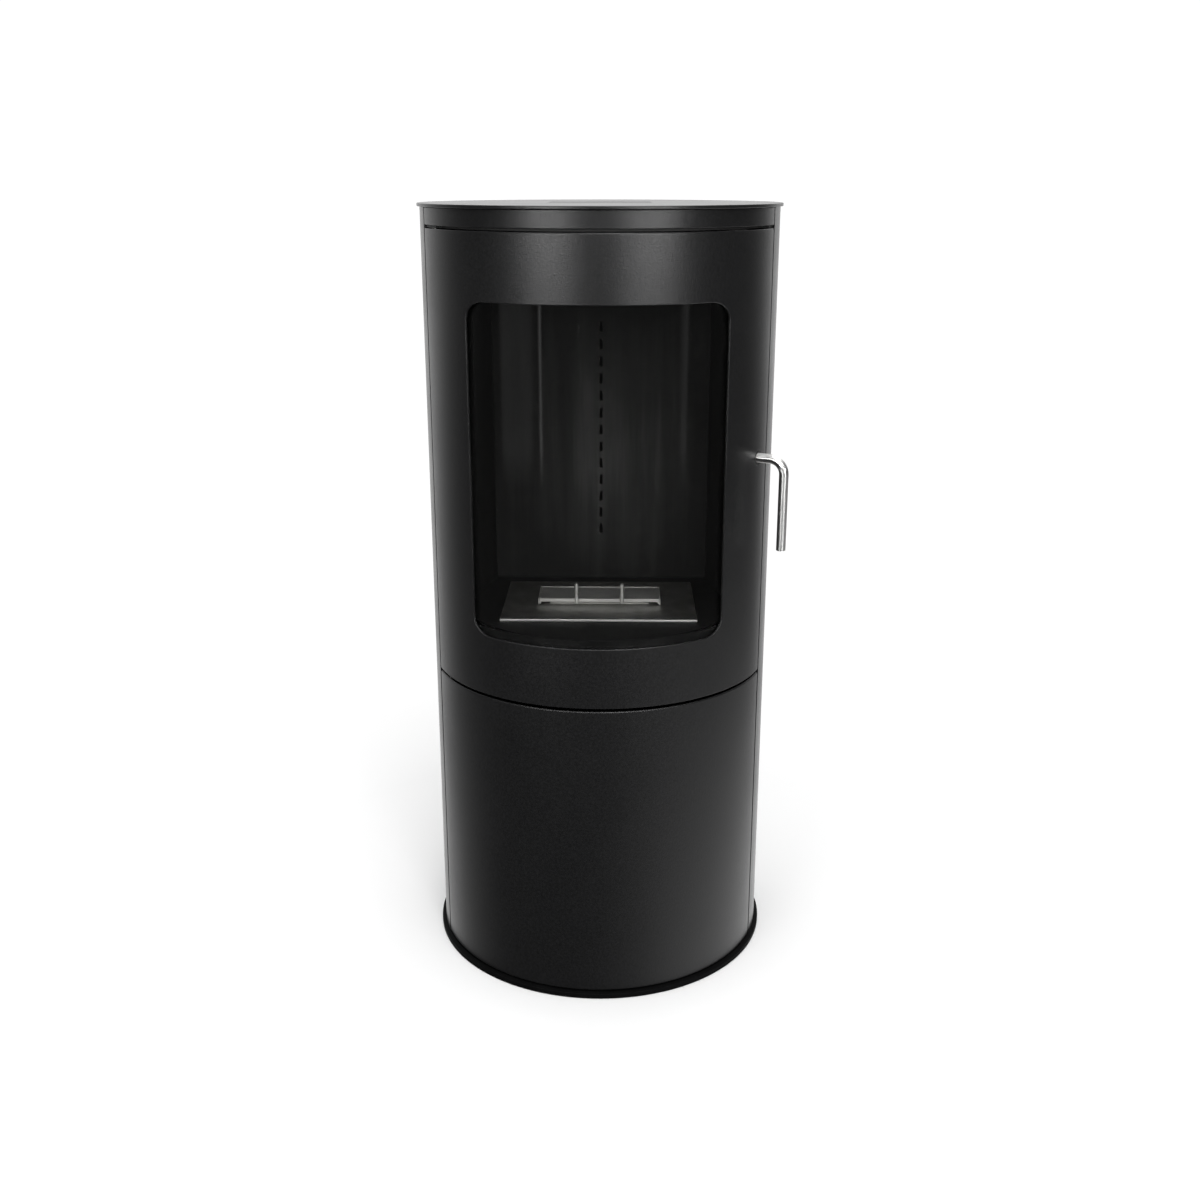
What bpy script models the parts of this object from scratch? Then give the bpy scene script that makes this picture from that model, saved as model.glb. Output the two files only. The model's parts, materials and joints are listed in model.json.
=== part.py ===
"""Free-standing round stove with a curved glass door, a storage door and a slide-lid burner.

The stove is a rolled steel drum of round plan. Its front is two curved doors, one above the other,
that hang on three upright pins at the left. Each piece below is its own solid in its own object.
Units are metres, +Z is up, the front faces -Y, and the origin is the middle of the underside.
Azimuth is measured in degrees round the drum: 0 at the front and positive towards +X.
"""

import math

import bmesh
import bpy
from mathutils import Matrix, Vector

MM = 0.001
GAP = 0.3 * MM

# The drum
HEIGHT = 1000 * MM
DRUM_R = 225 * MM
SHEET = 2 * MM
FRONT_SHEET = 3 * MM
PLINTH_R = 230.5 * MM
PLINTH_H = 7 * MM
TOP_R = 228.5 * MM
TOP_H = 4 * MM
FACET_DEG = 5.0
DISC_SIDES = 72

# The front, bottom to top: storage door, 4 mm gap, fire door, 4 mm gap, fascia
FRONT_AZ = 69.4
SHELL_AZ = 70.1
LOWER_DOOR_Z = (9.5 * MM, 403 * MM)
FIRE_DOOR_Z = (407 * MM, 971.5 * MM)
FASCIA_Z = (975.5 * MM, 995.5 * MM)
PANEL_IN = DRUM_R - FRONT_SHEET
SHELL_IN = DRUM_R - SHEET

# The decks inside the drum. Behind the doors they stay back, except at the hinge.
DECK_R = 222.4 * MM
DECK_FRONT_R = 214 * MM
DECK_FRONT_AZ = (-60.0, 66.0)
DECK_H = 3 * MM
MID_DECK_Z = 403.5 * MM
TOP_DECK_Z = 972.1 * MM
DECK_OUTLET = ((-110 * MM, -100 * MM), (110 * MM, 120 * MM))

# Rows of air slots: half width, slot height, pitch and count
SHELL_SLOT = (24 * MM, 6 * MM, 14 * MM, 6)
SHELL_SLOT_X = (-52 * MM, 52 * MM)
SHELL_SLOT_Z = 415 * MM
PANEL_SLOT = (2 * MM, 13 * MM, 23.4 * MM, 13)
PANEL_SLOT_Z = 550 * MM
TOP_VENT = (65 * MM, 8 * MM, 18 * MM, 7)

# The window and what holds its glass
WINDOW_AZ = 43.5
WINDOW_Z = (484 * MM, 892.5 * MM)
WINDOW_CORNER = 22 * MM
GLASS_R = (216.5 * MM, 220.5 * MM)
GLASS_AZ = 48.5
GLASS_OVERLAP = 18 * MM
GASKET_R = (220.9 * MM, 221.5 * MM)
GASKET_AZ = 47.8
GASKET_INSET = 3.5 * MM
RETAINER_R = (213.9 * MM, 216.2 * MM, 219.0 * MM, 221.5 * MM)
RETAINER_END_AZ = 46.5
RETAINER_LIP_TOP = 12 * MM
RETAINER_LIP_BOTTOM = 27 * MM
RETAINER_SCREW_AZ = 30.0
SIDE_SCREW_AZ = 51.5

# The hinge line shared by both doors
HINGE_AZ = -66.0
HINGE_R = 216 * MM
PIN_R = 3 * MM
PIN_HOLE_R = 3.3 * MM
PIN_COLLAR_R = 5.2 * MM
LUG_H = 4 * MM
LUG_R = (208.5 * MM, 221.5 * MM)
LUG_AZ = (-67.6, -60.0)
LOWER_LUG_Z = (16 * MM, 390 * MM)
FIRE_LUG_Z = (415 * MM, 957 * MM)

# The door handle, bent from one rod
HANDLE_AZ = 62.0
HANDLE_Z = 697 * MM
ROD_R = 6 * MM
LEVER_R = 260 * MM
BEND_R = 18 * MM
LEVER_END_Z = 582 * MM
SPINDLE_SHOULDER_R = 203.5 * MM
SPINDLE_END_R = 187 * MM
THREAD_R = 4 * MM
HANDLE_HOLE_R = 9.3 * MM
BUSH_R = (6.3 * MM, 9 * MM, 14 * MM)
TONGUE_LENGTH = 44 * MM
TONGUE_WIDTH = 14 * MM
TONGUE_T = 3 * MM

# The fire chamber
HEARTH_R = 190 * MM
HEARTH_Z = (482 * MM, 484 * MM)
HEARTH_BACK_Y = 100 * MM
BACK_PANEL_Y = 87 * MM
CHAMBER_HALF_BACK = 152 * MM
CHAMBER_HALF_FRONT = 179 * MM
CHAMBER_FRONT_Y = -62 * MM
SIDE_BACK = (149 * MM, 86.7 * MM)
ROOF_Z = 932 * MM
PANEL_T = 2 * MM
ROOF_OUTLET = ((-80 * MM, 0.0), (80 * MM, 60 * MM))

# The burner insert
BURNER_Y = -29 * MM
PLATE_HALF = (126.5 * MM, 85 * MM)
PLATE_Y = -31 * MM
PLATE_TOP = 487.5 * MM
TANK_HALF = (115 * MM, 69 * MM)
TANK_BOTTOM = 426 * MM
TANK_WALL = 1.5 * MM
MOUTH_HALF = (59.5 * MM, 15 * MM)
COLLAR_WALL = 1.5 * MM
COLLAR_FOOT = 6 * MM
COLLAR_FOOT_TOP = 489.0 * MM
COLLAR_TOP = 493.9 * MM
LID_HALF_X = 79 * MM
LID_Y = (-54 * MM, -0.6 * MM)
LID_Z = (489 * MM, 495.9 * MM)
LID_LIP_Z = 491.9 * MM
LID_WALL = 1.5 * MM
GUIDE_WALL = 1.5 * MM
GUIDE_TOP = 496.2 * MM
POST_R = 2.5 * MM
POST_X = 30 * MM
POST_Z = (490.5 * MM, 518 * MM)

# Colours: red, green, blue, roughness, metallic
FINISHES = {
    "black_powder_coat": (0.018, 0.018, 0.019, 0.42, 0.0),
    "black_structure": (0.02, 0.02, 0.02, 0.7, 0.0),
    "chamber_black": (0.012, 0.012, 0.012, 0.85, 0.0),
    "stainless_steel": (0.62, 0.61, 0.59, 0.25, 1.0),
    "plated_steel": (0.5, 0.5, 0.48, 0.4, 1.0),
    "ceramic_glass": (0.06, 0.06, 0.06, 0.05, 0.0),
    "glass_gasket": (0.1, 0.1, 0.1, 0.9, 0.0),
    "ceramic_wool": (0.75, 0.74, 0.7, 0.95, 0.0),
    "magnet_plastic": (0.03, 0.03, 0.03, 0.6, 0.0),
}


def clear_scene():
    for item in list(bpy.data.objects):
        bpy.data.objects.remove(item, do_unlink=True)


def finish_material(name):
    """The Principled material of one finish, made once and shared."""
    found = bpy.data.materials.get(name)
    if found:
        return found
    red, green, blue, roughness, metallic = FINISHES[name]
    material = bpy.data.materials.new(name)
    material.use_nodes = True
    shader = material.node_tree.nodes["Principled BSDF"]
    shader.inputs["Base Color"].default_value = (red, green, blue, 1.0)
    shader.inputs["Roughness"].default_value = roughness
    shader.inputs["Metallic"].default_value = metallic
    return material


def add_object(name, bm, finish):
    """Turns a bmesh into a named object with outward faces and one finish."""
    bmesh.ops.recalc_face_normals(bm, faces=bm.faces)
    mesh = bpy.data.meshes.new(name)
    bm.to_mesh(mesh)
    bm.free()
    mesh.shade_smooth()
    mesh.set_sharp_from_angle(angle=math.radians(30))
    item = bpy.data.objects.new(name, mesh)
    bpy.context.collection.objects.link(item)
    if finish:
        mesh.materials.append(finish_material(finish))
    return item


def polar(radius, azimuth, z=0.0):
    """A point on the drum's own cylinder coordinates."""
    angle = math.radians(azimuth)
    return Vector((radius * math.sin(angle), -radius * math.cos(angle), z))


def facing(azimuth, radius=0.0, z=0.0):
    """A frame seen from outside the drum: X to the right, Y up and Z outwards."""
    angle = math.radians(azimuth)
    right = Vector((math.cos(angle), math.sin(angle), 0.0))
    outward = Vector((math.sin(angle), -math.cos(angle), 0.0))
    turn = Matrix((right, Vector((0.0, 0.0, 1.0)), outward)).transposed().to_4x4()
    return Matrix.Translation(polar(radius, azimuth, z)) @ turn


def upright_frame(point):
    return Matrix.Translation(point)


def steps_between(start, end):
    """Azimuths from start to end, no further apart than one facet."""
    count = max(1, math.ceil(abs(end - start) / FACET_DEG))
    return [start + (end - start) * i / count for i in range(count + 1)]


def arc(radius, start, end):
    return [polar(radius, azimuth).to_2d() for azimuth in steps_between(start, end)]


def loops_to_mesh(bm, loops, around, ends):
    """Skins a row of vertex loops. around closes the row into a ring; ends caps it."""
    count = len(loops)
    for i in range(count if around else count - 1):
        first, second = loops[i], loops[(i + 1) % count]
        size = len(first)
        for j in range(size):
            k = (j + 1) % size
            bm.faces.new((first[j], first[k], second[k], second[j]))
    if ends:
        bm.faces.new(loops[0][::-1])
        bm.faces.new(loops[-1])


def prism(name, outline, low, high, finish, frame=None):
    """Extrudes a flat outline between two heights of a frame."""
    frame = frame or Matrix.Identity(4)
    bm = bmesh.new()
    loops = [[bm.verts.new(frame @ Vector((p[0], p[1], h))) for p in outline] for h in (low, high)]
    loops_to_mesh(bm, loops, around=False, ends=True)
    return add_object(name, bm, finish)


def box(name, low, high, finish):
    outline = [(low[0], low[1]), (high[0], low[1]), (high[0], high[1]), (low[0], high[1])]
    return prism(name, outline, low[2], high[2], finish)


def boxes(name, corner_pairs):
    """Several separate blocks in one mesh, for cutting a row of slots."""
    bm = bmesh.new()
    for low, high in corner_pairs:
        corners = [(low[0], low[1]), (high[0], low[1]), (high[0], high[1]), (low[0], high[1])]
        loops = [[bm.verts.new((x, y, z)) for x, y in corners] for z in (low[2], high[2])]
        loops_to_mesh(bm, loops, around=False, ends=True)
    return add_object(name, bm, None)


def swept(name, profile, start, end, finish):
    """Sweeps a closed profile of (radius, height) points round the drum."""
    bm = bmesh.new()
    loops = []
    for azimuth in steps_between(start, end):
        loops.append([bm.verts.new(polar(radius, azimuth, z)) for radius, z in profile])
    loops_to_mesh(bm, loops, around=False, ends=True)
    return add_object(name, bm, finish)


def curved_panel(name, radii, azimuths, heights, finish):
    inner, outer = radii
    low, high = heights
    profile = [(inner, low), (outer, low), (outer, high), (inner, high)]
    return swept(name, profile, azimuths[0], azimuths[1], finish)


def turned(name, profile, finish, frame, hollow=False, sides=20):
    """Turns (radius, height) points about a frame's Z. A hollow profile is a closed loop."""
    bm = bmesh.new()
    loops = []
    for radius, height in profile:
        angles = [2 * math.pi * i / sides for i in range(sides)]
        points = [Vector((radius * math.cos(a), radius * math.sin(a), height)) for a in angles]
        loops.append([bm.verts.new(frame @ p) for p in points])
    loops_to_mesh(bm, loops, around=hollow, ends=not hollow)
    return add_object(name, bm, finish)


def rod(name, radius, low, high, finish, frame, sides=20):
    return turned(name, [(radius, low), (radius, high)], finish, frame, sides=sides)


def tube(name, inner, outer, low, high, finish, frame):
    profile = [(inner, low), (outer, low), (outer, high), (inner, high)]
    return turned(name, profile, finish, frame, hollow=True)


def rectangular_ring(name, centre, half, profile, finish):
    """Sweeps a closed profile of (offset, height) points round a rectangle."""
    bm = bmesh.new()
    loops = []
    for sx, sy in ((-1, -1), (1, -1), (1, 1), (-1, 1)):
        ring = []
        for out, z in profile:
            ring.append(bm.verts.new((centre[0] + sx * (half[0] + out), centre[1] + sy * (half[1] + out), z)))
        loops.append(ring)
    loops_to_mesh(bm, loops, around=True, ends=False)
    return add_object(name, bm, finish)


def cut(target, *cutters):
    """Takes the cutters' shapes out of a piece and hides them."""
    for cutter in cutters:
        cutter.hide_render = True
        cutter.display_type = "WIRE"
        modifier = target.modifiers.new(cutter.name, "BOOLEAN")
        modifier.operation = "DIFFERENCE"
        modifier.solver = "EXACT"
        modifier.object = cutter
    return target


def rounded_rectangle(half_x, half_y, corner, steps=6):
    points = []
    for quarter, (sx, sy) in enumerate(((1, 1), (-1, 1), (-1, -1), (1, -1))):
        cx, cy = sx * (half_x - corner), sy * (half_y - corner)
        for i in range(steps + 1):
            angle = math.pi / 2 * (quarter + i / steps)
            points.append((cx + corner * math.cos(angle), cy + corner * math.sin(angle)))
    return points


def joint_axis(name, point):
    """An empty on a joint's axis that carries the moving pieces."""
    empty = bpy.data.objects.new(name, None)
    empty.location = point
    bpy.context.collection.objects.link(empty)
    return empty


def hang_on(axis, *items):
    """Parents pieces to a joint's empty without moving them."""
    for item in items:
        item.parent = axis
        item.location = item.location - axis.location


def hinge_hole(name, low, high):
    point = polar(HINGE_R, HINGE_AZ)
    return rod(name, PIN_HOLE_R, low, high, None, upright_frame(point))


def window_cutter(name, azimuth, heights, corner):
    """A rounded block that cuts a window of the given azimuth and height through the front."""
    half_x = DRUM_R * math.sin(math.radians(azimuth))
    half_y = (heights[1] - heights[0]) / 2
    middle = (heights[0] + heights[1]) / 2
    outline = rounded_rectangle(half_x, half_y, corner)
    return prism(name, outline, 120 * MM, 260 * MM, None, facing(0, 0, middle))


def deck(name, low):
    """A round deck whose front edge stays back from the gap between the doors."""
    front_start, front_end = DECK_FRONT_AZ
    outline = arc(DECK_R, front_end, 360 + front_start) + arc(DECK_FRONT_R, front_start, front_end)
    plate = prism(name, outline, low, low + DECK_H, "black_structure")
    return cut(plate, hinge_hole(name + "_pin_hole", low - 5 * MM, low + DECK_H + 5 * MM))


def slot_column(slot, centre_x, first, y_range):
    """Corner pairs of a column of slots that are cut along Y."""
    half_x, tall, pitch, count = slot
    pairs = []
    for row in range(count):
        low = first + row * pitch
        pairs.append(((centre_x - half_x, y_range[0], low), (centre_x + half_x, y_range[1], low + tall)))
    return pairs


def build_drum():
    """The plinth, the wrap-round shell, the decks, the fascia and the top plate."""
    upright = Matrix.Identity(4)
    plinth = rod("base_plate", PLINTH_R, 0.0, PLINTH_H, "black_powder_coat", upright, sides=DISC_SIDES)
    cut(plinth, hinge_hole("base_pin_hole", 2 * MM, 12 * MM))

    shell = curved_panel(
        "outer_shell", (SHELL_IN, DRUM_R), (SHELL_AZ, 360 - SHELL_AZ),
        (PLINTH_H + GAP, HEIGHT - TOP_H - GAP), "black_powder_coat")
    slots = []
    for centre_x in SHELL_SLOT_X:
        slots += slot_column(SHELL_SLOT, centre_x, SHELL_SLOT_Z, (200 * MM, 240 * MM))
    cut(shell, boxes("shell_air_slots", slots))

    deck("mid_deck", MID_DECK_Z)
    top = deck("top_deck", TOP_DECK_Z)
    low, high = DECK_OUTLET
    cut(top, box("top_deck_outlet", (*low, TOP_DECK_Z - 5 * MM), (*high, TOP_DECK_Z + 8 * MM), None))

    curved_panel("top_fascia", (PANEL_IN, DRUM_R), (-FRONT_AZ, FRONT_AZ), FASCIA_Z, "black_powder_coat")

    plate = rod("top_plate", TOP_R, HEIGHT - TOP_H, HEIGHT, "black_powder_coat", upright, sides=DISC_SIDES)
    half_x, wide, pitch, count = TOP_VENT
    vents = []
    for row in range(count):
        middle = (row - (count - 1) / 2) * pitch
        vents.append(((-half_x, middle - wide / 2, HEIGHT - 9 * MM),
                      (half_x, middle + wide / 2, HEIGHT + 5 * MM)))
    cut(plate, boxes("top_vent_slots", vents))


def upright_outline(side):
    """The L section of an upright: one leg on the shell and one leg pointing inwards."""
    reach, outer, inner = 203 * MM, 222.5 * MM, 220.5 * MM
    start, end, fold = 78.0, 88.0, 78.55
    points = [polar(reach, start), polar(outer, start)]
    points += [polar(outer, a) for a in steps_between(start, end)[1:]]
    points += [polar(inner, a) for a in reversed(steps_between(fold, end))]
    points.append(polar(reach, fold))
    return [(side * p.x, p.y) for p in points]


def build_uprights():
    levels = {
        "lower": (PLINTH_H + GAP, MID_DECK_Z - GAP),
        "upper": (MID_DECK_Z + DECK_H + GAP, TOP_DECK_Z - GAP),
    }
    for level, (low, high) in levels.items():
        prism("left_upright_" + level, upright_outline(-1), low, high, "black_structure")
        prism("right_upright_" + level, upright_outline(1), low, high, "black_structure")


def build_hinge_pins():
    """Three pins on one line. The lower two carry a door each on their collars."""
    frame = upright_frame(polar(HINGE_R, HINGE_AZ))
    lower = LOWER_LUG_Z[0]
    profile = [(PIN_R, 2.5 * MM), (PIN_R, PLINTH_H + GAP), (PIN_COLLAR_R, PLINTH_H + GAP),
               (PIN_COLLAR_R, lower - GAP), (PIN_R, lower - GAP), (PIN_R, lower + 12 * MM),
               (PIN_R - 1 * MM, lower + 13 * MM)]
    turned("hinge_pin_bottom", profile, "plated_steel", frame)

    seat = MID_DECK_Z + DECK_H + GAP
    foot = LOWER_LUG_Z[1] - 6 * MM
    upper = FIRE_LUG_Z[0]
    profile = [(PIN_R - 1 * MM, foot), (PIN_R, foot + 1 * MM), (PIN_R, seat), (PIN_COLLAR_R, seat),
               (PIN_COLLAR_R, upper - GAP), (PIN_R, upper - GAP), (PIN_R, upper + 12 * MM),
               (PIN_R - 1 * MM, upper + 13 * MM)]
    turned("hinge_pin_middle", profile, "plated_steel", frame)

    head = TOP_DECK_Z + DECK_H + GAP
    foot = FIRE_LUG_Z[1] - 8 * MM
    profile = [(PIN_R - 1 * MM, foot), (PIN_R, foot + 1 * MM), (PIN_R, head), (PIN_COLLAR_R, head),
               (PIN_COLLAR_R, head + 2 * MM)]
    turned("hinge_pin_top", profile, "plated_steel", frame)


def chamber_side(name, side):
    back_x, back_y = SIDE_BACK
    outline = [(side * back_x, back_y), (side * (back_x + PANEL_T), back_y),
               (side * CHAMBER_HALF_FRONT, CHAMBER_FRONT_Y),
               (side * (CHAMBER_HALF_FRONT - PANEL_T), CHAMBER_FRONT_Y)]
    return prism(name, outline, HEARTH_Z[1] + GAP, ROOF_Z - GAP, "chamber_black")


def build_chamber():
    """The hearth on its spacers, the three walls and the roof of the fire chamber."""
    turn = math.degrees(math.acos(-HEARTH_BACK_Y / HEARTH_R))
    hearth = prism("hearth_plate", arc(HEARTH_R, -turn, turn), HEARTH_Z[0], HEARTH_Z[1], "chamber_black")
    opening_x = TANK_HALF[0] + 3 * MM
    opening_y = TANK_HALF[1] + 3 * MM
    cut(hearth, box("hearth_cutout", (-opening_x, PLATE_Y - opening_y, HEARTH_Z[0] - 5 * MM),
                    (opening_x, PLATE_Y + opening_y, HEARTH_Z[1] + 5 * MM), None))

    back = box("chamber_back_panel", (-CHAMBER_HALF_BACK, BACK_PANEL_Y, HEARTH_Z[1] + GAP),
               (CHAMBER_HALF_BACK, BACK_PANEL_Y + PANEL_T, ROOF_Z - GAP), "chamber_black")
    cut(back, boxes("back_panel_slots", slot_column(PANEL_SLOT, 0.0, PANEL_SLOT_Z, (80 * MM, 95 * MM))))

    chamber_side("chamber_left_panel", -1)
    chamber_side("chamber_right_panel", 1)

    front = math.degrees(math.atan2(CHAMBER_HALF_FRONT, -CHAMBER_FRONT_Y))
    roof_outline = arc(HEARTH_R - 0.5 * MM, -front, front)
    roof_outline += [Vector((CHAMBER_HALF_BACK, BACK_PANEL_Y + PANEL_T)),
                     Vector((-CHAMBER_HALF_BACK, BACK_PANEL_Y + PANEL_T))]
    roof = prism("chamber_roof", roof_outline, ROOF_Z, ROOF_Z + PANEL_T, "chamber_black")
    low, high = ROOF_OUTLET
    cut(roof, box("roof_outlet", (*low, ROOF_Z - 5 * MM), (*high, ROOF_Z + 8 * MM), None))

    spots = {"front_left": (-140, -110), "front_right": (140, -110),
             "rear_left": (-140, 80), "rear_right": (140, 80)}
    for spot, (x, y) in spots.items():
        frame = upright_frame((x * MM, y * MM, 0.0))
        rod("hearth_spacer_" + spot, 6 * MM, MID_DECK_Z + DECK_H + GAP, HEARTH_Z[0] - GAP,
            "plated_steel", frame, sides=16)


def build_catches():
    """What holds the doors shut: the keeper, the fire door's stop and the magnet."""
    cheek_z = HANDLE_Z + TONGUE_WIDTH / 2 + 1 * MM
    outline = [(0.0, 680 * MM), (0.0, cheek_z + 3 * MM), (-23 * MM, cheek_z + 3 * MM), (-23 * MM, cheek_z),
               (-2 * MM, cheek_z), (-2 * MM, 680 * MM)]
    keeper_frame = facing(77.9)
    prism("latch_keeper", outline, 204 * MM, 216 * MM, "plated_steel", keeper_frame)

    profile = [(217 * MM, 940 * MM), (221.5 * MM, 940 * MM), (221.5 * MM, TOP_DECK_Z - GAP),
               (205 * MM, TOP_DECK_Z - GAP), (205 * MM, TOP_DECK_Z - 2.3 * MM),
               (217 * MM, TOP_DECK_Z - 2.3 * MM)]
    swept("fire_door_stop", profile, 46.0, 52.0, "black_structure")

    curved_panel("magnet_catch", (206 * MM, 218.8 * MM), (64.5, 77.5), (340 * MM, 372 * MM), "magnet_plastic")


def door_lug(name, low):
    """A flat lug with rounded hinge eye, welded inside a door."""
    outline = arc(LUG_R[1], LUG_AZ[0], LUG_AZ[1]) + list(reversed(arc(LUG_R[0], LUG_AZ[0], LUG_AZ[1])))
    lug = prism(name, outline, low, low + LUG_H, "black_structure")
    hole = hinge_hole(name + "_hole", low - 2 * MM, low + LUG_H + 2 * MM)
    cut(lug, hole)
    return [lug, hole]


def retainer_profile(base, way, lip_height):
    """Z section of the top or bottom glass retainer: a lip on the glass and a screwed flange."""
    lip, web, flange = -lip_height, 3.5 * MM, 17 * MM
    r0, r1, r2, r3 = RETAINER_R
    points = [(r0, lip), (r1, lip), (r1, 0.8 * MM), (r3, 0.8 * MM), (r3, flange), (r2, flange),
              (r2, web), (r0, web)]
    return [(r, base + way * z) for r, z in points]


def side_retainer_outline(side):
    """Z section of the left or right glass retainer."""
    r0, r1, r2, r3 = RETAINER_R
    points = [polar(r0, 46.8), polar(r1, 46.8), polar(r1, 48.9), polar(r3, 48.9), polar(r3, 53.2),
              polar(r2, 53.2), polar(r2, 49.6), polar(r0, 49.6)]
    return [(side * p.x, p.y) for p in points]


def retainer_screw(name, azimuth, z):
    """A pan head screw on the inside of the door, pointing outwards through a flange."""
    frame = facing(azimuth, 0.0, z)
    top = RETAINER_R[2] - GAP
    profile = [(2.6 * MM, top - 2.4 * MM), (3.8 * MM, top - 1.2 * MM), (3.8 * MM, top), (1.9 * MM, top),
               (1.9 * MM, RETAINER_R[3])]
    return turned(name, profile, "plated_steel", frame, sides=16)


def screw_hole(name, azimuth, z):
    return rod(name, 2.3 * MM, 210 * MM, 230 * MM, None, facing(azimuth, 0.0, z), sides=16)


def build_glass_retainers():
    """Four strips with two screws each that clamp the glass to the fire door."""
    top_base = WINDOW_Z[1] + GLASS_OVERLAP
    bottom_base = WINDOW_Z[0] - GLASS_OVERLAP
    side_z = (WINDOW_Z[0] + 20 * MM, WINDOW_Z[1] - 20 * MM)
    ends = (-RETAINER_END_AZ, RETAINER_END_AZ)
    strips = {
        "top": swept("glass_retainer_top", retainer_profile(top_base, 1, RETAINER_LIP_TOP),
                     *ends, "black_structure"),
        "bottom": swept("glass_retainer_bottom", retainer_profile(bottom_base, -1, RETAINER_LIP_BOTTOM),
                        *ends, "black_structure"),
        "left": prism("glass_retainer_left", side_retainer_outline(-1), *side_z, "black_structure"),
        "right": prism("glass_retainer_right", side_retainer_outline(1), *side_z, "black_structure"),
    }
    top_screw, bottom_screw = top_base + 11 * MM, bottom_base - 11 * MM
    lower_screw, upper_screw = side_z[0] + 60 * MM, side_z[1] - 60 * MM
    screws = {
        "top_left": ("top", -RETAINER_SCREW_AZ, top_screw),
        "top_right": ("top", RETAINER_SCREW_AZ, top_screw),
        "bottom_left": ("bottom", -RETAINER_SCREW_AZ, bottom_screw),
        "bottom_right": ("bottom", RETAINER_SCREW_AZ, bottom_screw),
        "left_lower": ("left", -SIDE_SCREW_AZ, lower_screw),
        "left_upper": ("left", -SIDE_SCREW_AZ, upper_screw),
        "right_lower": ("right", SIDE_SCREW_AZ, lower_screw),
        "right_upper": ("right", SIDE_SCREW_AZ, upper_screw),
    }
    pieces = list(strips.values())
    for spot, (strip, azimuth, z) in screws.items():
        hole = screw_hole("screw_hole_" + spot, azimuth, z)
        cut(strips[strip], hole)
        pieces += [hole, retainer_screw("retainer_screw_" + spot, azimuth, z)]
    return pieces


def build_fire_door(axis):
    """The upper door: rolled panel, glass with its gasket and retainers, lugs and handle bush."""
    panel = curved_panel("fire_door_panel", (PANEL_IN, DRUM_R), (-FRONT_AZ, FRONT_AZ), FIRE_DOOR_Z,
                         "black_powder_coat")
    window = window_cutter("window_hole", WINDOW_AZ, WINDOW_Z, WINDOW_CORNER)
    handle_frame = facing(HANDLE_AZ, 0.0, HANDLE_Z)
    handle_hole = rod("handle_hole", HANDLE_HOLE_R, 200 * MM, 240 * MM, None, handle_frame)
    cut(panel, window, handle_hole)

    glass_z = (WINDOW_Z[0] - GLASS_OVERLAP, WINDOW_Z[1] + GLASS_OVERLAP)
    glass = curved_panel("fire_door_glass", GLASS_R, (-GLASS_AZ, GLASS_AZ), glass_z, "ceramic_glass")

    gasket_z = (glass_z[0] + 2 * MM, glass_z[1] - 2 * MM)
    gasket = curved_panel("glass_gasket", GASKET_R, (-GASKET_AZ, GASKET_AZ), gasket_z, "glass_gasket")
    hole_z = (WINDOW_Z[0] - GASKET_INSET, WINDOW_Z[1] + GASKET_INSET)
    gasket_hole = window_cutter("gasket_hole", WINDOW_AZ + 0.9, hole_z, WINDOW_CORNER)
    cut(gasket, gasket_hole)

    bore, outer, flange = BUSH_R
    profile = [(bore, 206 * MM), (outer, 206 * MM), (outer, 218 * MM), (flange, 218 * MM),
               (flange, 221 * MM), (outer, 221 * MM), (outer, 224.8 * MM), (bore, 224.8 * MM)]
    bush = turned("handle_bush", profile, "black_structure", handle_frame, hollow=True)

    lower_z, upper_z = FIRE_LUG_Z
    lugs = door_lug("fire_door_lower_lug", lower_z) + door_lug("fire_door_upper_lug", upper_z)
    hang_on(axis, panel, window, handle_hole, glass, gasket, gasket_hole, bush, *lugs)
    hang_on(axis, *build_glass_retainers())


def handle_rod():
    """The spindle, the bend and the lever as one rod, drawn in the plane through the stove's axis."""
    outward = polar(1.0, HANDLE_AZ)
    side = polar(1.0, HANDLE_AZ + 90)
    up = Vector((0.0, 0.0, 1.0))
    stations = [(SPINDLE_END_R, HANDLE_Z, 0.0, THREAD_R - 0.8 * MM),
                (SPINDLE_END_R + 1 * MM, HANDLE_Z, 0.0, THREAD_R),
                (SPINDLE_SHOULDER_R, HANDLE_Z, 0.0, THREAD_R), (SPINDLE_SHOULDER_R, HANDLE_Z, 0.0, ROD_R)]
    bend_steps = 8
    for i in range(bend_steps + 1):
        angle = math.pi / 2 * i / bend_steps
        reach = LEVER_R - BEND_R + BEND_R * math.sin(angle)
        height = HANDLE_Z - BEND_R + BEND_R * math.cos(angle)
        stations.append((reach, height, angle, ROD_R))
    stations.append((LEVER_R, LEVER_END_Z + 0.8 * MM, math.pi / 2, ROD_R))
    stations.append((LEVER_R, LEVER_END_Z, math.pi / 2, ROD_R - 0.8 * MM))

    bm = bmesh.new()
    sides = 16
    loops = []
    for reach, height, angle, radius in stations:
        centre = outward * reach + up * height
        across = outward * math.sin(angle) + up * math.cos(angle)
        turns = [2 * math.pi * i / sides for i in range(sides)]
        ring = [centre + radius * (side * math.cos(t) + across * math.sin(t)) for t in turns]
        loops.append([bm.verts.new(point) for point in ring])
    loops_to_mesh(bm, loops, around=False, ends=True)
    return add_object("door_handle", bm, "stainless_steel")


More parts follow.
